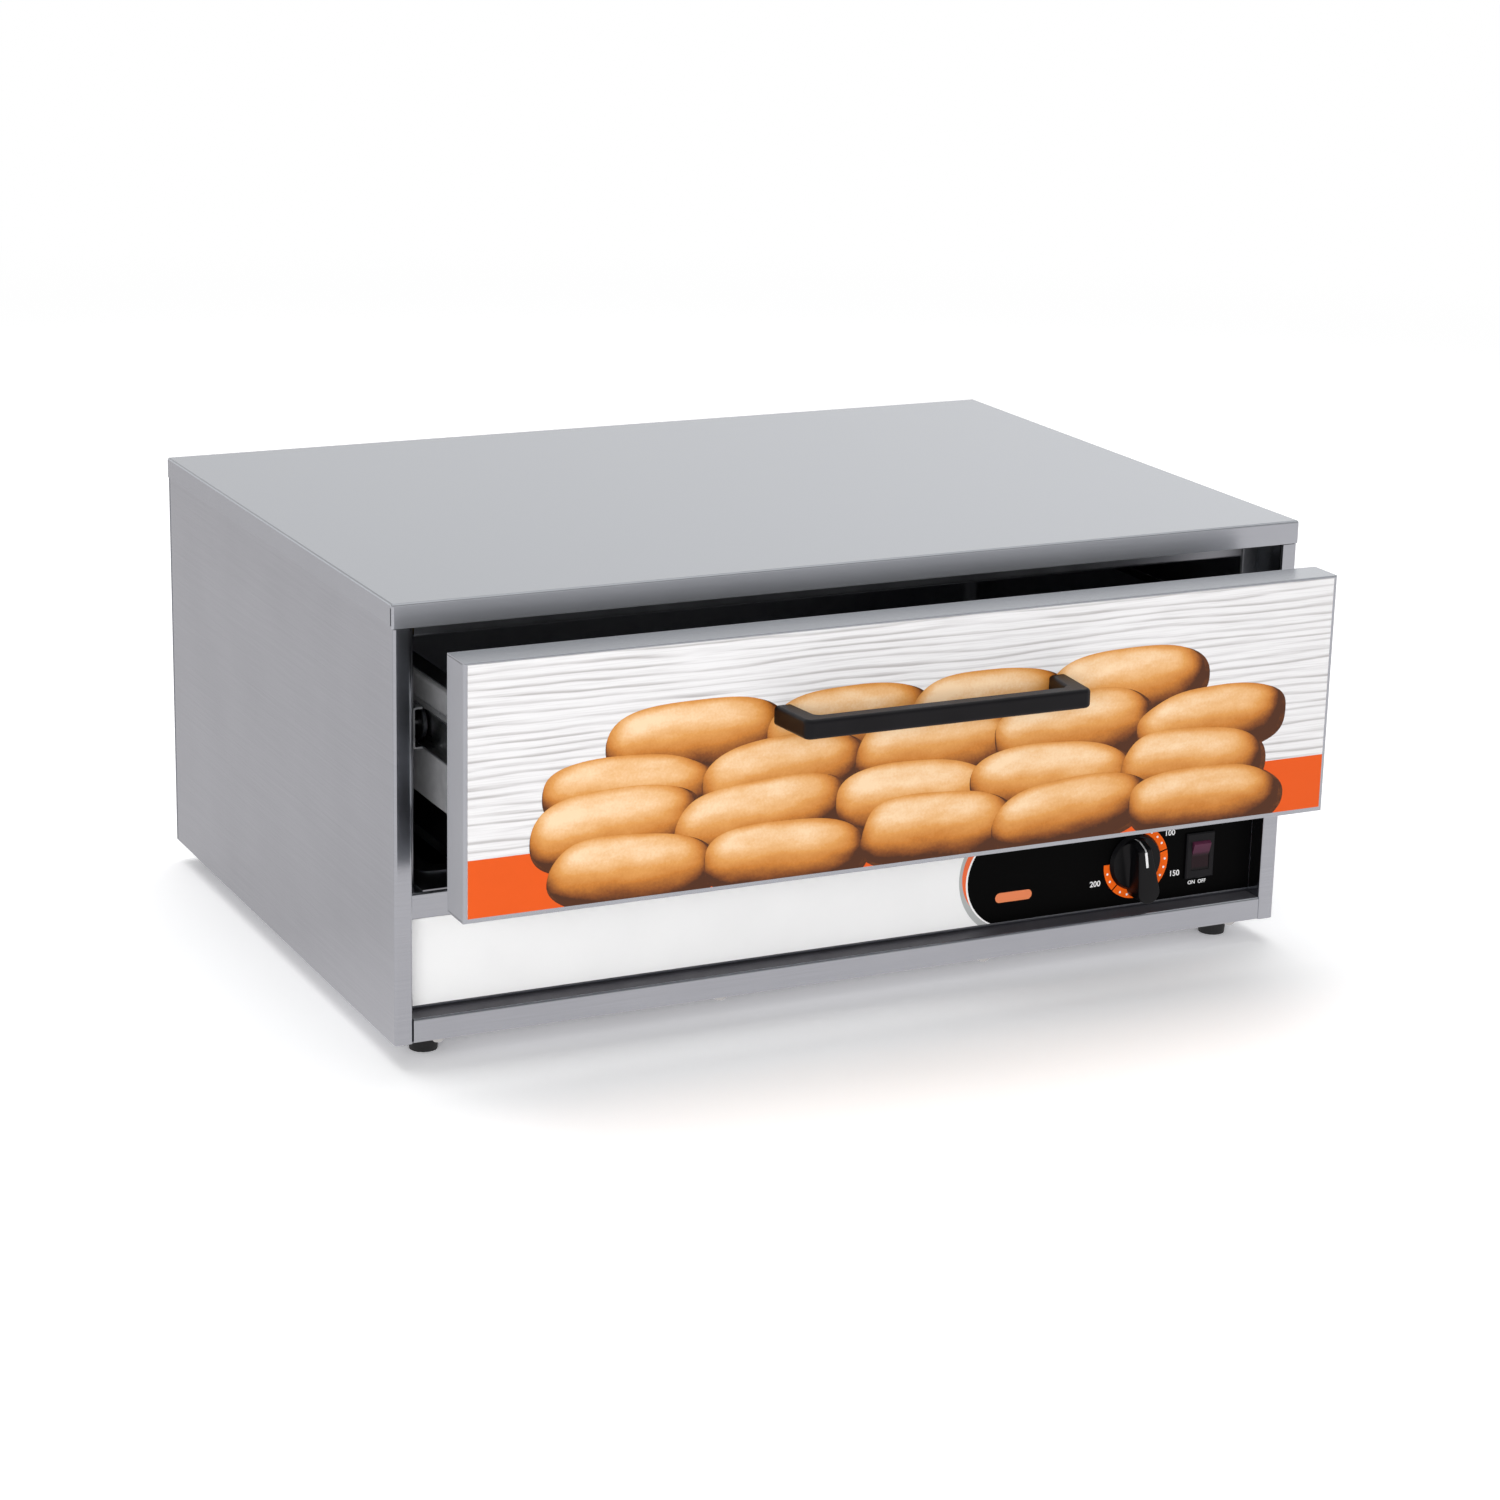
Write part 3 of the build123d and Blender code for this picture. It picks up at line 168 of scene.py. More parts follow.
scene = bpy.context.scene
scene.view_settings.view_transform = "Standard"
world = bpy.data.worlds.new("white_studio")
world.use_nodes = True
scene.world = world
sky = world.node_tree
sky.nodes.clear()
ray = add(sky, "LightPath")
where = add(sky, "SeparateXYZ", {0: add(sky, "TexCoord").outputs["Generated"]})
height = add(sky, "MapRange", {"Value": where.outputs["Z"], "From Min": -1.0})
bands = colour_ramp(sky, height.outputs[0], [((z + 1) / 2, level) for z, level in STUDIO_BANDS])
dim_side = add(sky, "MapRange", {
    "Value": where.outputs["Y"], "From Min": DIM_SIDE_EDGE[0], "From Max": DIM_SIDE_EDGE[1],
    "To Min": DIM_SIDE, "To Max": 1.0,
}, interpolation_type="SMOOTHSTEP")
ceiling = add(sky, "MapRange", {
    "Value": where.outputs["Z"], "From Min": CEILING_EDGE[0], "From Max": CEILING_EDGE[1],
}, interpolation_type="SMOOTHSTEP")
round_about = add(sky, "Math", {0: dim_side.outputs[0], 1: ceiling.outputs[0]}, operation="MAXIMUM")
across = add(sky, "MapRange", {
    "Value": where.outputs["X"], "From Min": LEFT_EDGE[0], "From Max": LEFT_EDGE[1],
    "To Min": LEFT_LEVEL, "To Max": 1.0,
})
wall = add(sky, "Math", {0: round_about.outputs[0], 1: across.outputs[0]}, operation="MULTIPLY")
mirrored = add(sky, "Math", {0: bands, 1: wall.outputs[0]}, operation="MULTIPLY")
lit = add(sky, "Mix", {
    "Factor": ray.outputs["Is Glossy Ray"], 2: WORLD_LIGHT, 3: mirrored.outputs[0],
})
seen = add(sky, "Math", {0: ray.outputs["Is Camera Ray"], 1: ray.outputs["Is Transmission Ray"]},
           operation="MAXIMUM")
strength = add(sky, "Mix", {"Factor": seen.outputs[0], 2: lit.outputs[0], 3: 1.0})
backdrop = add(sky, "Background", {"Color": linear("#ffffff"), "Strength": strength.outputs[0]})
add(sky, "OutputWorld", {"Surface": backdrop.outputs[0]})


def softbox(name, place, target, size, power):
    """Add a soft rectangular lamp that faces a point and doesn't show in mirrors."""
    lamp = bpy.data.lights.new(name, "AREA")
    lamp.shape = "RECTANGLE"
    lamp.size, lamp.size_y = size
    lamp.energy = power
    holder = bpy.data.objects.new(name, lamp)
    holder.location = place
    holder.rotation_mode = "QUATERNION"
    holder.rotation_quaternion = (Vector(target) - Vector(place)).to_track_quat("-Z", "Y")
    holder.visible_glossy = False
    scene.collection.objects.link(holder)


softbox("overhead_softbox", (0.1, 0.7, 2.4), (0, 0, 0.1), (3.0, 2.0), 34)
softbox("front_softbox", (-2.0, -4.2, 1.1), (0, -0.2, 0.15), (3.9, 1.8), 134)

# %% [markdown]
# The floor is one pale sheet. To the camera it is brighter than it is as a surface and turns
# plain white further out, so that it joins the white background and only the soft shadow under
# the warmer stays. Mirrors see it as a mid grey, as steel on a table shows it, and a painted
# pool of light makes it a little paler in front, where the front lamp falls.

# %% Lay the floor
FLOOR_SIZE = 40.0
FLOOR_COLOUR = "#e4e4e4"
FLOOR_SHOWN = (1.36, 1.36, 1.365, 1.0)
FLOOR_MIRRORED = (0.10, 0.10, 0.10, 1.0)
FLOOR_GLOW, FLOOR_GLOW_EDGE = (0.63, 0.49), (-0.15, 0.10)
FLOOR_TINT = (1.04, 1.0, 1.01, 1.0)
FLOOR_FADE = (1.2, 3.0)

floor_mesh = bpy.data.meshes.new("floor")
edge = FLOOR_SIZE / 2
floor_mesh.from_pydata(
    [(-edge, -edge, 0), (edge, -edge, 0), (edge, edge, 0), (-edge, edge, 0)], [], [(0, 1, 2, 3)]
)
floor = bpy.data.objects.new("floor", floor_mesh)
scene.collection.objects.link(floor)
paper, tree = start_material("pale_paper")
ray = add(tree, "LightPath")
place = add(tree, "TexCoord").outputs["Object"]
far = add(tree, "VectorMath", {0: place}, operation="LENGTH")
fade = add(tree, "MapRange", {
    "Value": far.outputs["Value"], "From Min": FLOOR_FADE[0], "From Max": FLOOR_FADE[1],
}, interpolation_type="SMOOTHSTEP")
near = add(tree, "BsdfDiffuse", {"Color": FLOOR_SHOWN})
white = add(tree, "Emission", {"Color": linear("#ffffff"), "Strength": 1.0})
to_camera = add(tree, "MixShader", {0: fade.outputs[0], 1: near.outputs[0], 2: white.outputs[0]})

grey = add(tree, "BsdfDiffuse", {"Color": FLOOR_MIRRORED})
# The glow that mirrors see is painted light, paler in front where the front lamp falls.
level = add(tree, "MapRange", {
    "Value": add(tree, "SeparateXYZ", {0: place}).outputs[1],
    "From Min": FLOOR_GLOW_EDGE[0], "From Max": FLOOR_GLOW_EDGE[1],
    "To Min": FLOOR_GLOW[0], "To Max": FLOOR_GLOW[1],
})
glow = add(tree, "Emission", {"Color": FLOOR_TINT, "Strength": level.outputs[0]})
to_mirror = add(tree, "AddShader", {0: grey.outputs[0], 1: glow.outputs[0]})

plain = add(tree, "BsdfDiffuse", {"Color": linear(FLOOR_COLOUR)})
to_others = add(tree, "MixShader", {
    0: ray.outputs["Is Glossy Ray"], 1: plain.outputs[0], 2: to_mirror.outputs[0],
})
to_all = add(tree, "MixShader", {
    0: ray.outputs["Is Camera Ray"], 1: to_others.outputs[0], 2: to_camera.outputs[0],
})
add(tree, "OutputMaterial", {"Surface": to_all.outputs[0]})
floor_mesh.materials.append(paper)
print("floor:", FLOOR_SIZE, "m wide")

# %% [markdown]
# ## Metals
# Most of the cabinet is No. 4 stainless steel sheet: it is brushed with a belt, so it has fine
# straight scratches and its reflections are blurred across them. The scratches are about
# 0.1 mm apart, too fine to show, so they are drawn 0.8 mm apart and faint. Noise that is
# stretched along one axis gives them, and anisotropy spreads the highlight across them.
# The top cover and the drawer front have a softer satin, which scatters a seventh of the light
# evenly, so their narrow flanges don't go dark where they mirror the open cabinet.

# %% Brushed stainless steel
def object_noise(tree, scale, detail=2.0):
    """Noise in the object's own place, with a scale in waves per metre for each axis."""
    place = add(tree, "TexCoord")
    stretch = add(tree, "Mapping", {"Vector": place.outputs["Object"], "Scale": scale})
    return add(tree, "TexNoise", {"Vector": stretch.outputs[0], "Scale": 1.0, "Detail": detail})


def metal(name, light, dark, roughness, spread, grain, cloud_mm, bump_mm, anisotropy=0.0,
          across=None, metallic=1.0):
    """Make a metal whose colour and roughness follow a grain and slow clouds."""
    material, tree = start_material(name)
    lines = object_noise(tree, grain)
    clouds = object_noise(tree, [1 / (cloud_mm * MM)] * 3, 3.0)
    both = add(tree, "Mix", {"Factor": 0.45, 2: lines.outputs[0], 3: clouds.outputs[0]})
    relief = add(tree, "Bump", {
        "Height": lines.outputs[0], "Strength": 0.5, "Distance": bump_mm * MM,
    })
    shader = add(tree, "BsdfPrincipled", {
        "Base Color": colour_ramp(tree, both.outputs[0], ((0.3, dark), (0.7, light))),
        "Roughness": stretch_noise(tree, both.outputs[0], roughness - spread, roughness + spread),
        "Metallic": metallic, "Normal": relief.outputs[0], "Anisotropic": anisotropy,
    })
    if across:
        sideways = add(tree, "CombineXYZ", dict(enumerate(across)))
        tree.links.new(sideways.outputs[0], shader.inputs["Tangent"])
    add(tree, "OutputMaterial", {"Surface": shader.outputs[0]})
    return material


GRAIN_SPACING = 0.8 * MM
GRAIN_LENGTH = 70 * MM
STEEL_LIGHT = "#c7cad0"
STEEL_DARK = "#bec1c7"


def brushed_stainless(name, along, roughness=0.25, metallic=1.0):
    """Brushed steel with its grain along some axes, 0 for X, 1 for Y and 2 for Z."""
    grain = [1 / (GRAIN_LENGTH if axis in along else GRAIN_SPACING) for axis in range(3)]
    across = [0.03 if axis in along else 1.0 for axis in range(3)]
    return metal(name, STEEL_LIGHT, STEEL_DARK, roughness, spread=0.015, grain=grain, cloud_mm=60,
                 bump_mm=0.002, anisotropy=0.5, across=across, metallic=metallic)


BRUSHED_STEELS = {
    "stainless_brushed_along_x": dict(along=(0,)),
    "stainless_brushed_level": dict(along=(0, 1), roughness=0.19),
    "stainless_satin_along_x": dict(along=(0,), metallic=0.85),
}
finishes = {name: brushed_stainless(name, **settings) for name, settings in BRUSHED_STEELS.items()}
print("brushed steel materials:", sorted(finishes))

# %% [markdown]
# The inner sheets have the duller finish that they leave the mill with. The slides are zinc
# plated, which is a little warmer and cloudier, and the screws are nickel plated and bright.
# The heater's sheath is a nickel alloy that turns brown-grey when it is hot for long, so it is
# rough and dark. The grain is in waves per metre along X, Y and Z, so a drawn tube has long waves
# along its length. The hangers' zinc is so dull that most of its light is scattered, hence the
# low metallic share.

# %% Other metals
OTHER_METALS = {
    "stainless_mill_finish": dict(light="#a9abaf", dark="#9c9ea3", roughness=0.36, spread=0.04,
                                  grain=(60, 60, 60), cloud_mm=45, bump_mm=0.001),
    "steel_galvanised": dict(light="#e2e2e4", dark="#cfcfd2", roughness=0.50, spread=0.08,
                             grain=(160, 160, 160), cloud_mm=9, bump_mm=0.004, metallic=0.3),
    "steel_roller_oiled": dict(light="#6f7074", dark="#4c4d51", roughness=0.36, spread=0.06,
                               grain=(400, 400, 400), cloud_mm=5, bump_mm=0.003),
    "steel_zinc_plated": dict(light="#c9cac8", dark="#aeb1b4", roughness=0.32, spread=0.07,
                              grain=(500, 60, 500), cloud_mm=12, bump_mm=0.004),
    "steel_nickel_plated": dict(light="#d8d8d6", dark="#c2c2c0", roughness=0.16, spread=0.04,
                                grain=(900, 900, 900), cloud_mm=6, bump_mm=0.002),
    "nickel_alloy_oxidised": dict(light="#6e6660", dark="#4a4440", roughness=0.5, spread=0.08,
                                  grain=(400, 400, 400), cloud_mm=9, bump_mm=0.01),
    "brass_plain": dict(light="#d8b45a", dark="#b8913c", roughness=0.24, spread=0.05,
                        grain=(500, 500, 500), cloud_mm=8, bump_mm=0.003),
    "copper_drawn": dict(light="#c9825e", dark="#a8623f", roughness=0.28, spread=0.06,
                         grain=(80, 700, 700), cloud_mm=10, bump_mm=0.003),
}
for name, settings in OTHER_METALS.items():
    finishes[name] = metal(name, **settings)
print("metals so far:", len(finishes))

# %% [markdown]
# ## Plastics, rubber and the rest
# The handle and the bushing are glass-filled nylon: black, satin, with the fine spark-eroded
# texture of the mould. The knob is phenolic, which is smoother and glossier. Each one is a
# dielectric with an index of refraction near 1.5, so a single function serves them, with the
# size of the texture in millimetres.

# %% Moulded and coated materials
def moulded(name, light, dark, roughness, grit_mm, bump_mm, cloud_mm=25.0, ior=1.5, gloss=0.5):
    """Make a dielectric with a fine texture and a slow change of tone."""
    material, tree = start_material(name)
    grit = object_noise(tree, [1 / (grit_mm * MM)] * 3, 3.0)
    clouds = object_noise(tree, [1 / (cloud_mm * MM)] * 3, 3.0)
    relief = add(tree, "Bump", {
        "Height": grit.outputs[0], "Strength": 0.6, "Distance": bump_mm * MM,
    })
    shader = add(tree, "BsdfPrincipled", {
        "Base Color": colour_ramp(tree, clouds.outputs[0], ((0.3, dark), (0.7, light))),
        "Roughness": stretch_noise(tree, grit.outputs[0], roughness * 0.85, roughness * 1.15),
        "IOR": ior, "Normal": relief.outputs[0], "Specular IOR Level": gloss,
    })
    add(tree, "OutputMaterial", {"Surface": shader.outputs[0]})
    return material


MOULDINGS = {
    "nylon_moulded_black": dict(light="#121114", dark="#0c0b0e", roughness=0.42, grit_mm=0.5,
                                bump_mm=0.015, gloss=0.25),
    "phenolic_moulded_black": dict(light="#0a0a0c", dark="#060608", roughness=0.38, grit_mm=0.6,
                                   bump_mm=0.004, gloss=0.25),
    "rubber_moulded_black": dict(light="#1e1e1f", dark="#151516", roughness=0.7, grit_mm=0.4,
                                 bump_mm=0.03),
    "phenolic_moulded_brown": dict(light="#4a2f20", dark="#372015", roughness=0.35, grit_mm=0.8,
                                   bump_mm=0.01),
    "steatite_fired": dict(light="#e4dfd2", dark="#d6cfbf", roughness=0.55, grit_mm=0.5,
                           bump_mm=0.02, ior=1.6),
    "mineral_wool_blanket": dict(light="#d8c88a", dark="#b9a35f", roughness=0.95, grit_mm=1.6,
                                 bump_mm=0.8, cloud_mm=9.0),
    # A flat dark grey that paints shade on the rail's ledge.
    "gasket_dark_grey": dict(light="#59585d", dark="#4e4d52", roughness=0.5, grit_mm=0.6,
                             bump_mm=0.01, gloss=0.25),
}
for name, settings in MOULDINGS.items():
    finishes[name] = moulded(name, **settings)
print("finishes so far:", len(finishes))

# %% [markdown]
# The control panel carries a polycarbonate film that is printed from behind, so its colours are
# even and its face is satin. The inks are flat fields: a white one, a grey and an orange edge,
# and a black one for the controls.

# %% Printed films and inks
def film(name, colour, roughness=0.32, gloss=0.5):
    """Make one printed colour of the film, with the fine satin texture of its face."""
    shade = [int(colour[i:i + 2], 16) for i in (1, 3, 5)]
    darker = "#" + "".join(f"{round(value * 0.985):02x}" for value in shade)
    return moulded(name, colour, darker, roughness, grit_mm=0.5, bump_mm=0.003, cloud_mm=40.0,
                   ior=1.58, gloss=gloss)


INKS = {
    "film_white": dict(colour="#fbfbfb"),
    # The grey ink also draws the painted highlight on the knob.
    "film_grey": dict(colour="#b4b6b6"),
    "film_orange": dict(colour="#f4682c"),
    "film_dial_orange": dict(colour="#fb6812", roughness=0.45, gloss=0.1),
    "film_black": dict(colour="#010101", roughness=0.5, gloss=0.05),
    "film_badge_orange": dict(colour="#ee8550"),
}
for name, settings in INKS.items():
    finishes[name] = film(name, **settings)
print("film inks:", list(INKS))

# %% [markdown]
# The rocker is smoked red polycarbonate over a lamp. Its tint carries painted light and shade:
# its upper half, which faces the light, is painted mauve, its lower half stays dark maroon, a fine
# ridge runs between them, and painted shade darkens its foot. The change is tied to the height on
# the piece itself, so it tips with the rocker.

# %% Smoked rocker with painted light
# Stops of height and tint: painted shade at the foot, dark maroon, then painted light in mauve.
ROCKER_PAINTED_LIGHT = ((0.08, "#060203"), (0.14, "#1e0810"), (0.50, "#1e0810"), (0.56, "#351425"),
                (0.62, "#4f243b"), (0.92, "#5a2a43"))

rocker_low, rocker_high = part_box("switch_rocker")


def smoked_rocker_with_painted_light():
    """Polycarbonate whose tint goes from painted shade at its foot through dark maroon to painted
    light, mauve, up its height.
    """
    material, tree = start_material("polycarbonate_smoked_red_painted_light")
    place = add(tree, "SeparateXYZ", {0: add(tree, "TexCoord").outputs["Object"]})
    up_it = add(tree, "MapRange", {
        "Value": place.outputs[2], "From Min": rocker_low.z, "From Max": rocker_high.z,
    })
    swirl = object_noise(tree, [1 / (4 * MM)] * 3)
    rough = add(tree, "MapRange", {"Value": swirl.outputs[0], "To Min": 0.16, "To Max": 0.26})
    relief = add(tree, "Bump", {"Height": swirl.outputs[0], "Strength": 0.3, "Distance": 0.02 * MM})
    shader = add(tree, "BsdfPrincipled", {
        "Base Color": colour_ramp(tree, up_it.outputs[0], ROCKER_PAINTED_LIGHT),
        "Roughness": rough.outputs[0], "Normal": relief.outputs[0],
        "IOR": 1.585, "Specular IOR Level": 0.2,
    })
    add(tree, "OutputMaterial", {"Surface": shader.outputs[0]})
    return material


finishes["polycarbonate_smoked_red_painted_light"] = smoked_rocker_with_painted_light()
print("rocker is", round((rocker_high.z - rocker_low.z) / MM, 1), "mm high")

# %% [markdown]
# The drawer front carries a printed vinyl sheet. Its ground is white-washed wood: long fine grey
# lines, about 5 mm apart, run along it and bend slowly, as the year rings do where a board is
# cut along the trunk. The height, plus a slow noise, is cut into steps with a fraction, and each
# step has one dark edge. A wave texture could do this too, but its lines would all be alike.
# All colours of the print share the satin face of the vinyl.

# %% The printed boards
RING_SPACING = 5.2 * MM
RING_SHIFT = 2.7
RING_LINE = ((0.0, 0.0), (0.14, 1.0), (0.50, 0.0))
BOARD_WHITE = "#eeedee"
BOARD_GREY = "#b9b5b5"

print_low, print_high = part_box("front_print")


def finish_vinyl(tree, colour):
    """End a material with the satin face of printed vinyl."""
    shader = add(tree, "BsdfPrincipled", {
        "Base Color": colour, "Roughness": 0.42, "IOR": 1.5, "Specular IOR Level": 0.35,
    })
    add(tree, "OutputMaterial", {"Surface": shader.outputs[0]})


def printed_boards():
    """Whitewashed wood grain, printed on vinyl."""
    material, tree = start_material("vinyl_print_whitewashed_boards")
    place = add(tree, "SeparateXYZ", {0: add(tree, "TexCoord").outputs["Object"]})
    rings = add(tree, "Math", {0: place.outputs[2], 1: RING_SPACING}, operation="DIVIDE")
    bends = object_noise(tree, [1 / (190 * MM), 0, 1 / (24 * MM)], 3.0)
    shift = add(tree, "Math", {0: bends.outputs[0], 1: RING_SHIFT}, operation="MULTIPLY")
    phase = add(tree, "Math", {0: rings.outputs[0], 1: shift.outputs[0]}, operation="ADD")
    part = add(tree, "Math", {0: phase.outputs[0]}, operation="FRACT")
    line = colour_ramp(tree, part.outputs[0], RING_LINE)
    breaks = object_noise(tree, [1 / (90 * MM), 0, 1 / (6 * MM)])
    broken = add(tree, "MapRange", {"Value": breaks.outputs[0], "From Min": 0.28, "From Max": 0.60})
    drawn = add(tree, "Math", {0: line, 1: broken.outputs[0]}, operation="MULTIPLY")
    streaks = object_noise(tree, [1 / (40 * MM), 0, 1 / (0.8 * MM)], 3.0)
    faint = add(tree, "MapRange", {
        "Value": streaks.outputs[0], "From Min": 0.45, "From Max": 0.75, "To Max": 0.34,
    })
    grey = add(tree, "Math", {0: drawn.outputs[0], 1: faint.outputs[0]}, operation="ADD")
    shade = add(tree, "Mix", {
        "Factor": grey.outputs[0], 6: linear(BOARD_WHITE), 7: linear(BOARD_GREY),
    }, data_type="RGBA")
    finish_vinyl(tree, shade.outputs[2])
    return material


finishes["vinyl_print_whitewashed_boards"] = printed_boards()
finishes["vinyl_print_orange"] = film("vinyl_print_orange", "#e85912", roughness=0.42, gloss=0.25)
print("print is", [round(side / MM, 1) for side in print_high - print_low], "mm")

# %% [markdown]
# Every piece of the CAD model gets the finish of its record slot. A few differ from their slot:
# the side panels' grain runs level from front to back, the drawer's hangers are galvanised, the
# front rollers are dark with oil and the body of the thermostat is brown phenolic.

# %% Give each CAD piece its finish
SLOT_FINISH = {
    "brushed_stainless": "stainless_brushed_along_x",
    "plain_stainless": "stainless_mill_finish",
    "zinc_steel": "steel_zinc_plated",
    "bright_screw": "steel_nickel_plated",
    "sheathed_element": "nickel_alloy_oxidised",
    "black_moulding": "nylon_moulded_black",
    "knob_moulding": "phenolic_moulded_black",
    "white_ink": "film_white",
    "label_film": "film_white",
    "print_film": "vinyl_print_whitewashed_boards",
    "rocker_red": "polycarbonate_smoked_red_painted_light",
    "black_rubber": "rubber_moulded_black",
    "ceramic_block": "steatite_fired",
    "brass_tab": "brass_plain",
    "copper_tube": "copper_drawn",
    "mineral_wool": "mineral_wool_blanket",
}
OWN_FINISH = {
    "top_cover": "stainless_satin_along_x",
    "drawer_front": "stainless_satin_along_x",
    "side_panel_left": "stainless_brushed_level",
    "side_panel_right": "stainless_brushed_level",
    "drawer_hanger_left": "steel_galvanised",
    "drawer_hanger_right": "steel_galvanised",
    "front_roller_left": "steel_roller_oiled",
    "front_roller_right": "steel_roller_oiled",
    "thermostat_body": "phenolic_moulded_brown",
}
node_slot = {part["node"]: part["material_slot"] for part in frame["record"]["subparts"]}
for name, node in nodes.items():
    finish = OWN_FINISH.get(name) or SLOT_FINISH[node_slot[name]]
    node.data.materials.clear()
    node.data.materials.append(finishes[finish])
print("dressed", len(nodes), "pieces")

# %% [markdown]
# The panel stands on the rail's ledge, and the ledge is painted a flat dark grey: painted shade
# for the dark recess below the drawer. The painted shade is a second material slot on the faces
# of the rail that look up at the ledge's height, so the rail keeps its shape.

# %% Paint shade on the rail's ledge
LEDGE_BAND = 1.5 * MM

rail = nodes["front_rail"].data
rail.materials.append(finishes["gasket_dark_grey"])
rail_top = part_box("front_rail")[1].z
upward = [face for face in rail.polygons if face.normal.z > 0.9]
ledge = [face for face in upward if face.center.z > rail_top - LEDGE_BAND]
for face in ledge:
    face.material_index = 1
print("painted shade faces:", len(ledge), "at", round(rail_top / MM, 1), "mm")

# %% [markdown]
# ## The film on the control panel
# The film is white with a black field at its right end, where the controls are. The black field
# starts with a round edge, and behind that edge stand an orange and a grey crescent. Each field
# is a thin flat piece with an arc at its left end, one just in front of the other, as layers of
# ink lie. A painted texture would blur where the piece is seen from near.

# %% Helpers for flat pieces
def place_piece(name, mesh, finish, body):
    """Put a mesh in the scene with its finish, and let it ride on a body."""
    piece = bpy.data.objects.new(name, mesh)
    scene.collection.objects.link(piece)
    mesh.materials.append(finishes[finish])
    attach(piece, body)
    return piece


def pull_back(shape, depth):
    """Extrude all faces of a bmesh towards +Y."""
    sides = bmesh.ops.extrude_face_region(shape, geom=list(shape.faces))
    moved = [item for item in sides["geom"] if isinstance(item, bmesh.types.BMVert)]
    bmesh.ops.translate(shape, verts=moved, vec=(0, depth, 0))


def cut_away(shape, point, direction, **kept):
    """Cut a bmesh with a plane and clear one side of it."""
    everything = list(shape.verts) + list(shape.edges) + list(shape.faces)
    bmesh.ops.bisect_plane(shape, geom=everything, plane_co=point, plane_no=direction, **kept)


def flat_mesh(name, outlines, front_y, thickness):
    """Make thin plates that face -Y from outlines of x and z, in metres."""
    shape = bmesh.new()
    for outline in outlines:
        corners = [shape.verts.new((x, front_y, z)) for x, z in outline]
        face = shape.faces.new(corners)
        if face.normal.y > 0:
            face.normal_flip()
        shape.normal_update()
    pull_back(shape, thickness)
    bmesh.ops.recalc_face_normals(shape, faces=shape.faces)
    mesh = bpy.data.meshes.new(name)
    shape.to_mesh(mesh)
    shape.free()
    return mesh


def arc(centre, radius, start, end, steps):
    """Points on an arc in the XZ plane, with angles in degrees."""
    angles = [math.radians(start + (end - start) * i / steps) for i in range(steps + 1)]
    return [(centre[0] + radius * math.cos(a), centre[1] + radius * math.sin(a)) for a in angles]


print("one quarter circle:", len(arc((0, 0), 1, 0, 90, 12)), "points")

# %% Lay the colour fields of the film
INK = 0.03 * MM
FIELD_STEPS = 32
FIELD_ARCS = [
    ("label_grey_field", "film_grey", (118.1, 65.2), 40.7),
    ("label_orange_field", "film_orange", (109.8, 66.0), 30.2),
    ("label_light_line", "film_white", (115.6, 62.6), 33.2),
    ("label_black_field", "film_black", (116.3, 62.6), 32.6),
]

label_low, label_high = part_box("control_label")


def rounded_field(centre, radius):
    """Outline of a field that fills the film from an arc to its right end."""
    middle = (centre[0] * MM, centre[1] * MM)
    radius = radius * MM
    top_angle = math.degrees(math.asin(min(1, (label_high.z - middle[1]) / radius)))
    low_angle = math.degrees(math.asin(max(-1, (label_low.z - middle[1]) / radius)))
    left = arc(middle, radius, 180 - top_angle, 180 - low_angle, FIELD_STEPS)
    return left + [(label_high.x, label_low.z), (label_high.x, label_high.z)]


for layer, (name, finish, centre, radius) in enumerate(FIELD_ARCS, start=1):
    front_y = label_low.y - layer * INK
    mesh = flat_mesh(name, [rounded_field(centre, radius)], front_y, INK)
    place_piece(name, mesh, finish, "cabinet")
ink_y = label_low.y - (len(FIELD_ARCS) + 1) * INK
print("fields:", len(FIELD_ARCS), "on a film of", round((label_high.x - label_low.x) / MM), "mm")

# %% [markdown]
# Round the knob runs an orange scale with a mark every 15 degrees: white dots, and two black
# lines. Plain numbers stand outside it, made from Blender's own font as flat pieces of ink.

# %% Draw the scale of the dial
DIAL_OFFSET = (1.2 * MM, -1.0 * MM)
DIAL_INNER = 18.4 * MM
DIAL_OUTER = 24.4 * MM
SCALE_START, SCALE_END = -182.0, 80.0
MARK_ANGLES = range(-165, 76, 15)
TICK_ANGLES = (-135, 15)
TICK_WIDTH = 0.9 * MM
DOT_RADIUS = 0.8 * MM
DOT_CIRCLE = 22.1 * MM
BADGE_CENTRE = (118.0 * MM, 50.0 * MM)
BADGE_LENGTH = 27.0 * MM
BADGE_HEIGHT = 6.6 * MM

shaft_low, shaft_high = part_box("thermostat_shaft")
shaft = ((shaft_low.x + shaft_high.x) / 2, (shaft_low.z + shaft_high.z) / 2)
dial = (shaft[0] + DIAL_OFFSET[0], shaft[1] + DIAL_OFFSET[1])
scale_outline = (arc(dial, DIAL_OUTER, SCALE_START, SCALE_END, 84)
                 + arc(dial, DIAL_INNER, SCALE_END, SCALE_START, 84))
place_piece("dial_scale", flat_mesh("dial_scale", [scale_outline], ink_y, INK),
            "film_dial_orange", "cabinet")

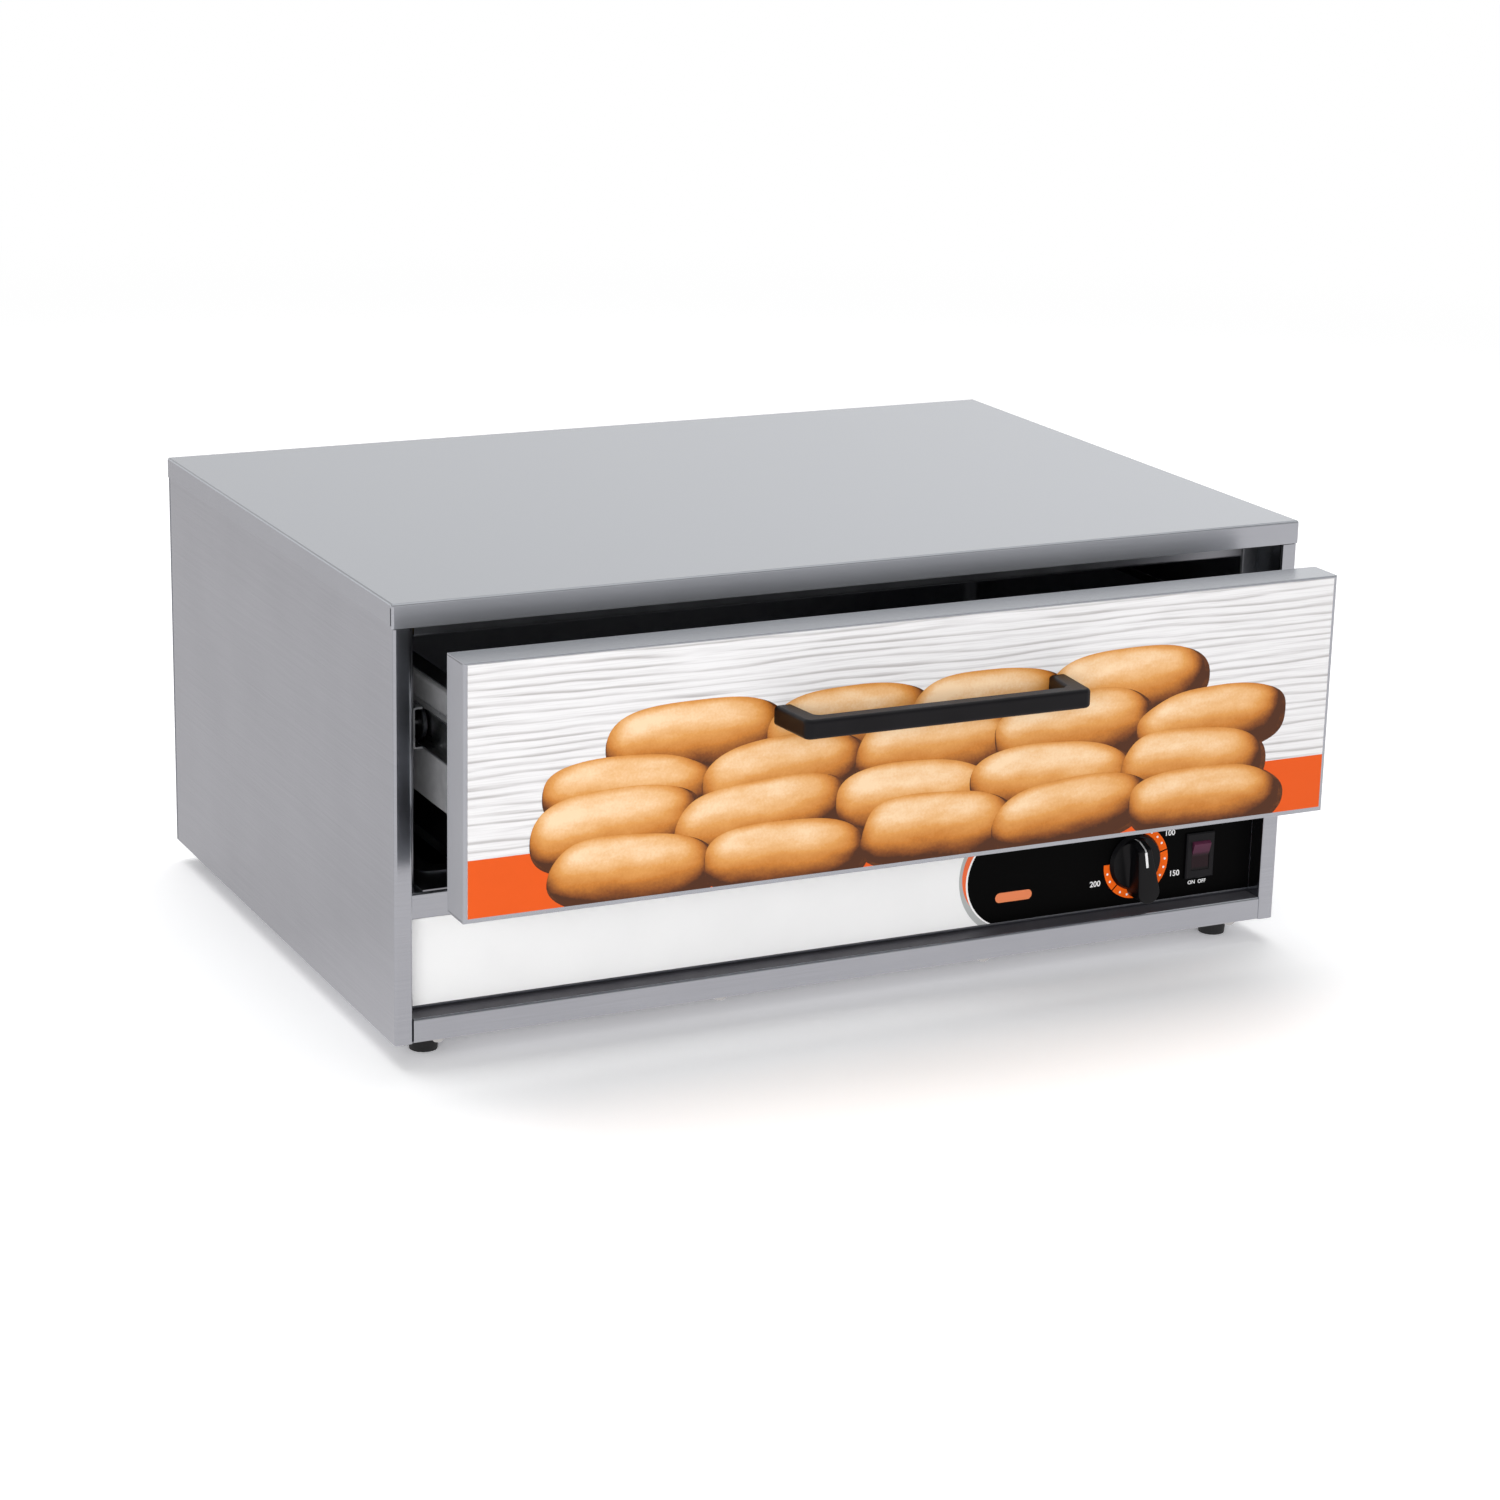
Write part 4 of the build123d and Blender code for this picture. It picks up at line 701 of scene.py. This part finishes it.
dots, ticks = [], []
for degrees in MARK_ANGLES:
    angle = math.radians(degrees)
    outward = Vector((math.cos(angle), math.sin(angle)))
    if degrees in TICK_ANGLES:
        side = Vector((-outward.y, outward.x)) * TICK_WIDTH / 2
        inner, outer = (Vector(dial) + outward * r for r in (DIAL_INNER - INK, DIAL_OUTER + INK))
        ticks.append([tuple(corner) for corner in
                      (inner - side, outer - side, outer + side, inner + side)])
    else:
        dots.append(arc(tuple(Vector(dial) + outward * DOT_CIRCLE), DOT_RADIUS, 0, 345, 23))
place_piece("dial_dots", flat_mesh("dial_dots", dots, ink_y - INK, INK),
            "film_white", "cabinet")
place_piece("dial_ticks", flat_mesh("dial_ticks", ticks, ink_y - 2 * INK, INK),
            "film_black", "cabinet")

badge_end = (BADGE_LENGTH - BADGE_HEIGHT) / 2
badge = []
for sign in (-1, 1):
    middle = (BADGE_CENTRE[0] + sign * badge_end, BADGE_CENTRE[1])
    badge += arc(middle, BADGE_HEIGHT / 2, -sign * 90, -sign * 90 + 180, 16)
place_piece("label_badge", flat_mesh("label_badge", [badge], ink_y, INK),
            "film_badge_orange", "cabinet")
print("dial at", [round(value / MM, 1) for value in dial], "mm, dots:", len(dots))

# %% [markdown]
# ## The knob
# The knob is one moulding: a thin flared skirt, a hub that is scooped out on both sides, and a
# grip that runs across it. The grip widens to a round tail, and its other end, where the pointer
# is, slopes down to the hub. Three closed shapes are joined with Boolean modifiers, and the
# hollows for the shaft and its neck are cut out of the back. All sizes are in millimetres:
# across the grip, up along it, and deep behind its face. This body replaces the CAD knob, whose
# slope is cut at the tail's end.

# %% Helpers for the knob's shapes
KNOB_LEAN = math.radians(9)
KNOB_DEEP = 15.4
SKIRT_DEEP, SKIRT_RADII = 12.8, (19.2, 17.7)
HUB_DEEP, HUB_RADIUS = 7.0, 16.5
SCOOP_RADIUS = 5.8
GRIP_HALF, TAIL_RADIUS, TAIL_MIDDLE = 4.4, 8.0, -17.2
SLOPE_START = 12.5
GRIP_EDGE = 1.2
NECK_RADIUS, NECK_END = 5.9, 12.4
SHAFT_RADIUS, SHAFT_END = 3.195, 3.5
HIDDEN_LAP = 0.4
SLIVER = 0.002 * MM

knob_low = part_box("control_knob")[0]
along_grip = Vector((-math.sin(KNOB_LEAN), math.cos(KNOB_LEAN)))
across_grip = Vector((along_grip.y, -along_grip.x))


def knob_point(across, up, deep):
    """Turn millimetres on the knob into a point of the scene."""
    spot = Vector(shaft) + (across_grip * across + along_grip * up) * MM
    return Vector((spot.x, knob_low.y + deep * MM, spot.y))


def finish_shape(shape, name):
    """Turn a bmesh into an object that a Boolean modifier can use."""
    bmesh.ops.recalc_face_normals(shape, faces=shape.faces)
    mesh = bpy.data.meshes.new(name)
    shape.to_mesh(mesh)
    shape.free()
    made = bpy.data.objects.new(name, mesh)
    scene.collection.objects.link(made)
    return made


def round_shape(name, back_radius, front_radius, back, front):
    """Make a closed cone or cylinder round the shaft between two depths."""
    shape = bmesh.new()
    middle = knob_point(0, 0, (back + front) / 2)
    bmesh.ops.create_cone(shape, cap_ends=True, segments=96, radius1=back_radius * MM,
                          radius2=front_radius * MM, depth=(back - front) * MM,
                          matrix=Matrix.Translation(middle) @ Matrix.Rotation(math.pi / 2, 4, "X"))
    return finish_shape(shape, name)


def scooped_hub():
    """Make the hub: its top falls in a hollow curve on both sides of the grip."""
    turns = [math.radians(90 * i / 12) for i in range(13)]
    side = [(GRIP_HALF + SCOOP_RADIUS * (1 - math.cos(a)), HUB_DEEP + SCOOP_RADIUS * math.sin(a))
            for a in turns]
    stations = [(-x, deep) for x, deep in reversed(side)] + side
    foot = SKIRT_DEEP + HIDDEN_LAP
    shape = bmesh.new()
    rings = []
    for x, deep in stations:
        reach = math.sqrt(HUB_RADIUS ** 2 - x * x)
        corners = ((reach, deep), (-reach, deep), (-reach, foot), (reach, foot))
        rings.append([shape.verts.new(knob_point(x, up, at)) for up, at in corners])
    for first, second in zip(rings, rings[1:]):
        for i in range(4):
            shape.faces.new((first[i], first[(i + 1) % 4], second[(i + 1) % 4], second[i]))
    shape.faces.new(rings[0])
    shape.faces.new(rings[-1])
    return finish_shape(shape, "hub")


def sloped_grip():
    """Make the grip, cut its slope and round the edges of its face."""
    outline = ([(GRIP_HALF, HUB_RADIUS), (-GRIP_HALF, HUB_RADIUS)]
               + arc((0, TAIL_MIDDLE), TAIL_RADIUS, 174, 366, 24))
    shape = bmesh.new()
    shape.faces.new([shape.verts.new(knob_point(x, up, 0)) for x, up in outline])
    pull_back(shape, KNOB_DEEP * MM)
    start, end = knob_point(0, SLOPE_START, 0), knob_point(0, HUB_RADIUS, HUB_DEEP)
    outward = (end - start).cross(knob_point(1, 0, 0) - knob_point(0, 0, 0)).normalized()
    if outward.y > 0:
        outward.negate()
    cut_away(shape, start, outward, clear_outer=True)
    bmesh.ops.holes_fill(shape, edges=[edge for edge in shape.edges if edge.is_boundary])
    bmesh.ops.recalc_face_normals(shape, faces=shape.faces)
    soft = []
    for edge in shape.edges:
        looks = [face.normal.y < -0.3 for face in edge.link_faces]
        low_end = all(abs(vert.co.y - end.y) < 0.01 * MM for vert in edge.verts)
        if any(looks) and edge.calc_face_angle(0) > 0.35 and not low_end:
            soft.append(edge)
    bmesh.ops.bevel(shape, geom=soft, offset=GRIP_EDGE * MM, segments=5, profile=0.5,
                    affect="EDGES")
    return finish_shape(shape, "grip")


print("the knob leans", round(math.degrees(KNOB_LEAN)), "degrees")

# %% Join the knob
grip = sloped_grip()
parts = [
    (scooped_hub(), "UNION"),
    (round_shape("skirt", *SKIRT_RADII, KNOB_DEEP, SKIRT_DEEP), "UNION"),
    (round_shape("neck_hollow", NECK_RADIUS, NECK_RADIUS, KNOB_DEEP + 1, NECK_END), "DIFFERENCE"),
    (round_shape("shaft_hollow", SHAFT_RADIUS, SHAFT_RADIUS, 13.0, SHAFT_END), "DIFFERENCE"),
]
for other, operation in parts:
    joining = grip.modifiers.new(other.name, "BOOLEAN")
    joining.object, joining.operation, joining.solver = other, operation, "EXACT"
bpy.context.view_layer.update()
joined = grip.evaluated_get(bpy.context.evaluated_depsgraph_get())
knob_mesh = bpy.data.meshes.new_from_object(joined)
for used in [grip] + [other for other, operation in parts]:
    bpy.data.objects.remove(used)
tidied = bmesh.new()
tidied.from_mesh(knob_mesh)
bmesh.ops.remove_doubles(tidied, verts=tidied.verts, dist=SLIVER)
bmesh.ops.dissolve_degenerate(tidied, edges=tidied.edges, dist=SLIVER)
tidied.to_mesh(knob_mesh)
tidied.free()
knob_mesh.materials.clear()
knob_mesh.shade_smooth()
knob_mesh.set_sharp_from_angle(angle=math.radians(38))
knob_body = place_piece("knob_body", knob_mesh, "phenolic_moulded_black", "knob")
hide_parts("control_knob")
print("knob:", len(knob_mesh.polygons), "faces")

# %% [markdown]
# A grey line past the knob's white pointer is a painted highlight: it runs over the edge of the
# face, down the slope and along the hub to the skirt, where the glossy edge catches the light. It
# is a narrow ribbon that follows the knob's profile. A stripe in the knob's own material would
# blur at the edge.

# %% Draw the painted highlight on the knob
HIGHLIGHT_HALF = 0.5
HIGHLIGHT_LIFT = 0.10
HIGHLIGHT_PROFILE = [(11.0, 0.0), (11.3, 0.0), (11.7, 0.04), (12.05, 0.13), (12.34, 0.28), (12.6, 0.48),
                (12.85, 0.72), (13.1, 1.04), (16.45, 6.9), (16.5, 7.3), (16.5, 12.6)]

corners = []
for i, (up, deep) in enumerate(HIGHLIGHT_PROFILE):
    before = HIGHLIGHT_PROFILE[max(0, i - 1)]
    after = HIGHLIGHT_PROFILE[min(len(HIGHLIGHT_PROFILE) - 1, i + 1)]
    slope = Vector((after[0] - before[0], after[1] - before[1])).normalized()
    for side in (-HIGHLIGHT_HALF, HIGHLIGHT_HALF):
        corners.append(knob_point(side, up + slope.y * HIGHLIGHT_LIFT, deep - slope.x * HIGHLIGHT_LIFT))
strips = [(2 * i, 2 * i + 1, 2 * i + 3, 2 * i + 2) for i in range(len(HIGHLIGHT_PROFILE) - 1)]
# The ribbon is a painted highlight in grey ink.
highlight_mesh = bpy.data.meshes.new("knob_painted_highlight")
highlight_mesh.from_pydata(corners, [], strips)
place_piece("knob_painted_highlight", highlight_mesh, "film_grey", "knob")
print("line points:", len(corners))

# %% Set the numbers and the switch marks
DIAL_NUMBERS = (("100", (234.5, 78.7)), ("150", (239.5, 50.3)), ("200", (179.0, 50.3)))
NUMBER_SIZE = 5.4
SWITCH_WORDS_CENTRE = (257.5, 42.3)
SWITCH_WORDS_SIZE = 3.6
LETTER_BOLDNESS = 0.015


def ink_text(name, words, centre_mm, size_mm):
    """Make flat letters of ink, centred on a point of x and z, that face -Y."""
    centre, size = [value * MM for value in centre_mm], size_mm * MM
    curve = bpy.data.curves.new(name, "FONT")
    curve.body = words
    curve.size = size
    curve.align_x, curve.align_y = "CENTER", "CENTER"
    curve.extrude = INK / 2
    curve.offset = size * LETTER_BOLDNESS
    holder = bpy.data.objects.new(name, curve)
    scene.collection.objects.link(holder)
    bpy.context.view_layer.update()
    mesh = bpy.data.meshes.new_from_object(holder)
    bpy.data.objects.remove(holder)
    upright = Matrix.Rotation(math.pi / 2, 4, "X")
    mesh.transform(Matrix.Translation((centre[0], ink_y, centre[1])) @ upright)
    mesh.materials.clear()
    mesh.name = name
    return place_piece(name, mesh, "film_white", "cabinet")


for words, centre in DIAL_NUMBERS:
    ink_text(f"dial_number_{words}", words, centre, NUMBER_SIZE)
ink_text("switch_words", "ON  OFF", SWITCH_WORDS_CENTRE, SWITCH_WORDS_SIZE)
print("numbers:", [words for words, centre in DIAL_NUMBERS])

# %% [markdown]
# ## The picture on the drawer
# The print shows a pile of golden rolls in front of the boards, on an orange base stripe. Each
# roll is a flat sheet with many points, and the light on it is worked out as if it were a
# rounded body, then stored at the points. The material turns that light into crust colours and
# adds the fine speckle of baked flour. A dark copy lies just under each roll, a little down and
# to the right, as its shade. A real relief would throw shadows that a print doesn't have. The
# powers below 1 make a roll's outline fuller than an ellipse, and the weights after the first
# light add a sheen along its crown and darken its rim and its underside.

# %% Crust colours
CRUST_TONES = ((0.0, "#4e2810"), (0.18, "#85491b"), (0.44, "#c67b30"), (0.68, "#dd9c54"),
               (0.84, "#ecba82"), (1.0, "#f9d8b0"))


def printed_crust():
    """Baked crust as a print shows it: the light stored at the points picks the colour."""
    material, tree = start_material("vinyl_print_crust")
    lit = add(tree, "Attribute", attribute_name="lit")
    speckle = object_noise(tree, [1 / (1.4 * MM)] * 3, 4.0)
    blotch = object_noise(tree, [1 / (22 * MM), 0, 1 / (9 * MM)], 3.0)
    small = stretch_noise(tree, speckle.outputs[0], -0.03, 0.03)
    large = stretch_noise(tree, blotch.outputs[0], -0.07, 0.07)
    first = add(tree, "Math", {0: lit.outputs["Fac"], 1: small}, operation="ADD")
    second = add(tree, "Math", {0: first.outputs[0], 1: large}, operation="ADD")
    finish_vinyl(tree, colour_ramp(tree, second.outputs[0], CRUST_TONES))
    return material


finishes["vinyl_print_crust"] = printed_crust()
print("crust material ready")

# %% Shape and shade the rolls
RINGS = 16
SPOKES = 64
PICTURE_LIGHT = Vector((-0.35, 0.66, 0.66)).normalized()
PICTURE_STEP = 0.004 * MM
SHADE_REACH, SHADE_LIGHT, SHADE_OFFSET = 1.035, 0.02, 1.5


def smooth(low, high, value):
    """Go from 0 to 1 between two limits, without corners."""
    t = min(1, max(0, (value - low) / (high - low)))
    return t * t * (3 - 2 * t)


def roll_points(centre, half_length, half_height, tilt, seed, shade=False):
    """Points of one roll as (x, z, light), ring by ring from the middle outward."""
    chance = random.Random(seed)
    lumps = [chance.uniform(-0.018, 0.018) for wave in range(4)]
    tone = chance.uniform(-0.05, 0.05)
    reach = SHADE_REACH if shade else 1.0
    points = []
    for ring in range(RINGS + 1):
        r = math.sin(ring / RINGS * math.pi / 2)
        for spoke in range(SPOKES):
            a = 2 * math.pi * spoke / SPOKES
            waves = (depth * math.sin((wave + 2) * a + seed) for wave, depth in enumerate(lumps))
            lump = reach + sum(waves)
            u = r * math.copysign(abs(math.cos(a)) ** 0.72, math.cos(a)) * lump
            v = r * math.copysign(abs(math.sin(a)) ** 0.86, math.sin(a)) * lump
            height = math.sqrt(max(0.0, 1 - r * r))
            end = u * abs(u) ** 1.6
            facing = Vector((end * 0.9, v, height + 0.10)).normalized()
            light = 0.04 + 0.88 * max(0, facing.dot(PICTURE_LIGHT)) + tone
            light += 0.10 * smooth(0.55, 0.0, abs(v - 0.42)) * smooth(0.95, 0.6, abs(u))
            light -= 0.16 * smooth(0.80, 1.0, r) + 0.10 * smooth(0.1, -0.9, v)
            x, z = u * half_length, v * half_height
            turned_x = x * math.cos(tilt) - z * math.sin(tilt)
            turned_z = x * math.sin(tilt) + z * math.cos(tilt)
            tint = SHADE_LIGHT if shade else light
            points.append((centre[0] + turned_x, centre[1] + turned_z, tint))
    return points


def picture_mesh(name, shapes, first_y):
    """Join shapes of rings into one flat mesh with the light stored at its points."""
    vertices, faces, lights = [], [], []
    for order, points in enumerate(shapes):
        start = len(vertices)
        vertices += [(x, first_y - order * PICTURE_STEP, z) for x, z, light in points]
        lights += [light for x, z, light in points]
        for ring in range(len(points) // SPOKES - 1):
            for spoke in range(SPOKES):
                after = (spoke + 1) % SPOKES
                low, high = start + ring * SPOKES, start + (ring + 1) * SPOKES
                faces.append((low + spoke, low + after, high + after, high + spoke))
    mesh = bpy.data.meshes.new(name)
    mesh.from_pydata(vertices, [], faces)
    mesh.attributes.new("lit", "FLOAT", "POINT").data.foreach_set("value", lights)
    shape = bmesh.new()
    shape.from_mesh(mesh)
    for corner, sign in ((print_low, 1), (print_high, -1)):
        cut_away(shape, corner, (sign, 0, 0), clear_inner=True)
        cut_away(shape, corner, (0, 0, sign), clear_inner=True)
    bmesh.ops.remove_doubles(shape, verts=shape.verts, dist=PICTURE_STEP / 4)
    shape.to_mesh(mesh)
    shape.free()
    return mesh


print("one roll has", (RINGS + 1) * SPOKES, "points")

# %% Lay the stripe and the rolls
STRIPE_TOP = 149.5 * MM
PRINT_INK = 0.02 * MM
picture_y = print_low.y - PRINT_INK
stripe = [(print_low.x, print_low.z), (print_high.x, print_low.z),
          (print_high.x, STRIPE_TOP), (print_low.x, STRIPE_TOP)]
place_piece("print_stripe", flat_mesh("print_stripe", [stripe], picture_y, PRINT_INK),
            "vinyl_print_orange", "drawer")

PILE_MIDDLE = 5.0
ROWS = [(4, 208.0, -6.0), (5, 183.0, 5.0), (5, 157.0, -7.0), (5, 131.0, 3.0)]
ROLL_SPACING = 99.0
ROLL_HALF = (54.0, 22.5)

chance = random.Random(11)
rolls = []
for row, (count, height, shift) in enumerate(ROWS):
    for place in range(count):
        x = PILE_MIDDLE + shift + (place - (count - 1) / 2) * ROLL_SPACING + chance.uniform(-5, 5)
        z = height + chance.uniform(-3, 3)
        sizes = [half * MM * chance.uniform(0.95, 1.05) for half in ROLL_HALF]
        tilt = math.radians(chance.uniform(-5, 5))
        seed = row * 20 + place
        under = ((x + SHADE_OFFSET) * MM, (z - SHADE_OFFSET) * MM)
        rolls.append(roll_points(under, *sizes, tilt, seed, shade=True))
        rolls.append(roll_points((x * MM, z * MM), *sizes, tilt, seed))
place_piece("print_rolls", picture_mesh("print_rolls", rolls, picture_y - PRINT_INK),
            "vinyl_print_crust", "drawer")
print("rolls in the picture:", len(rolls) // 2)
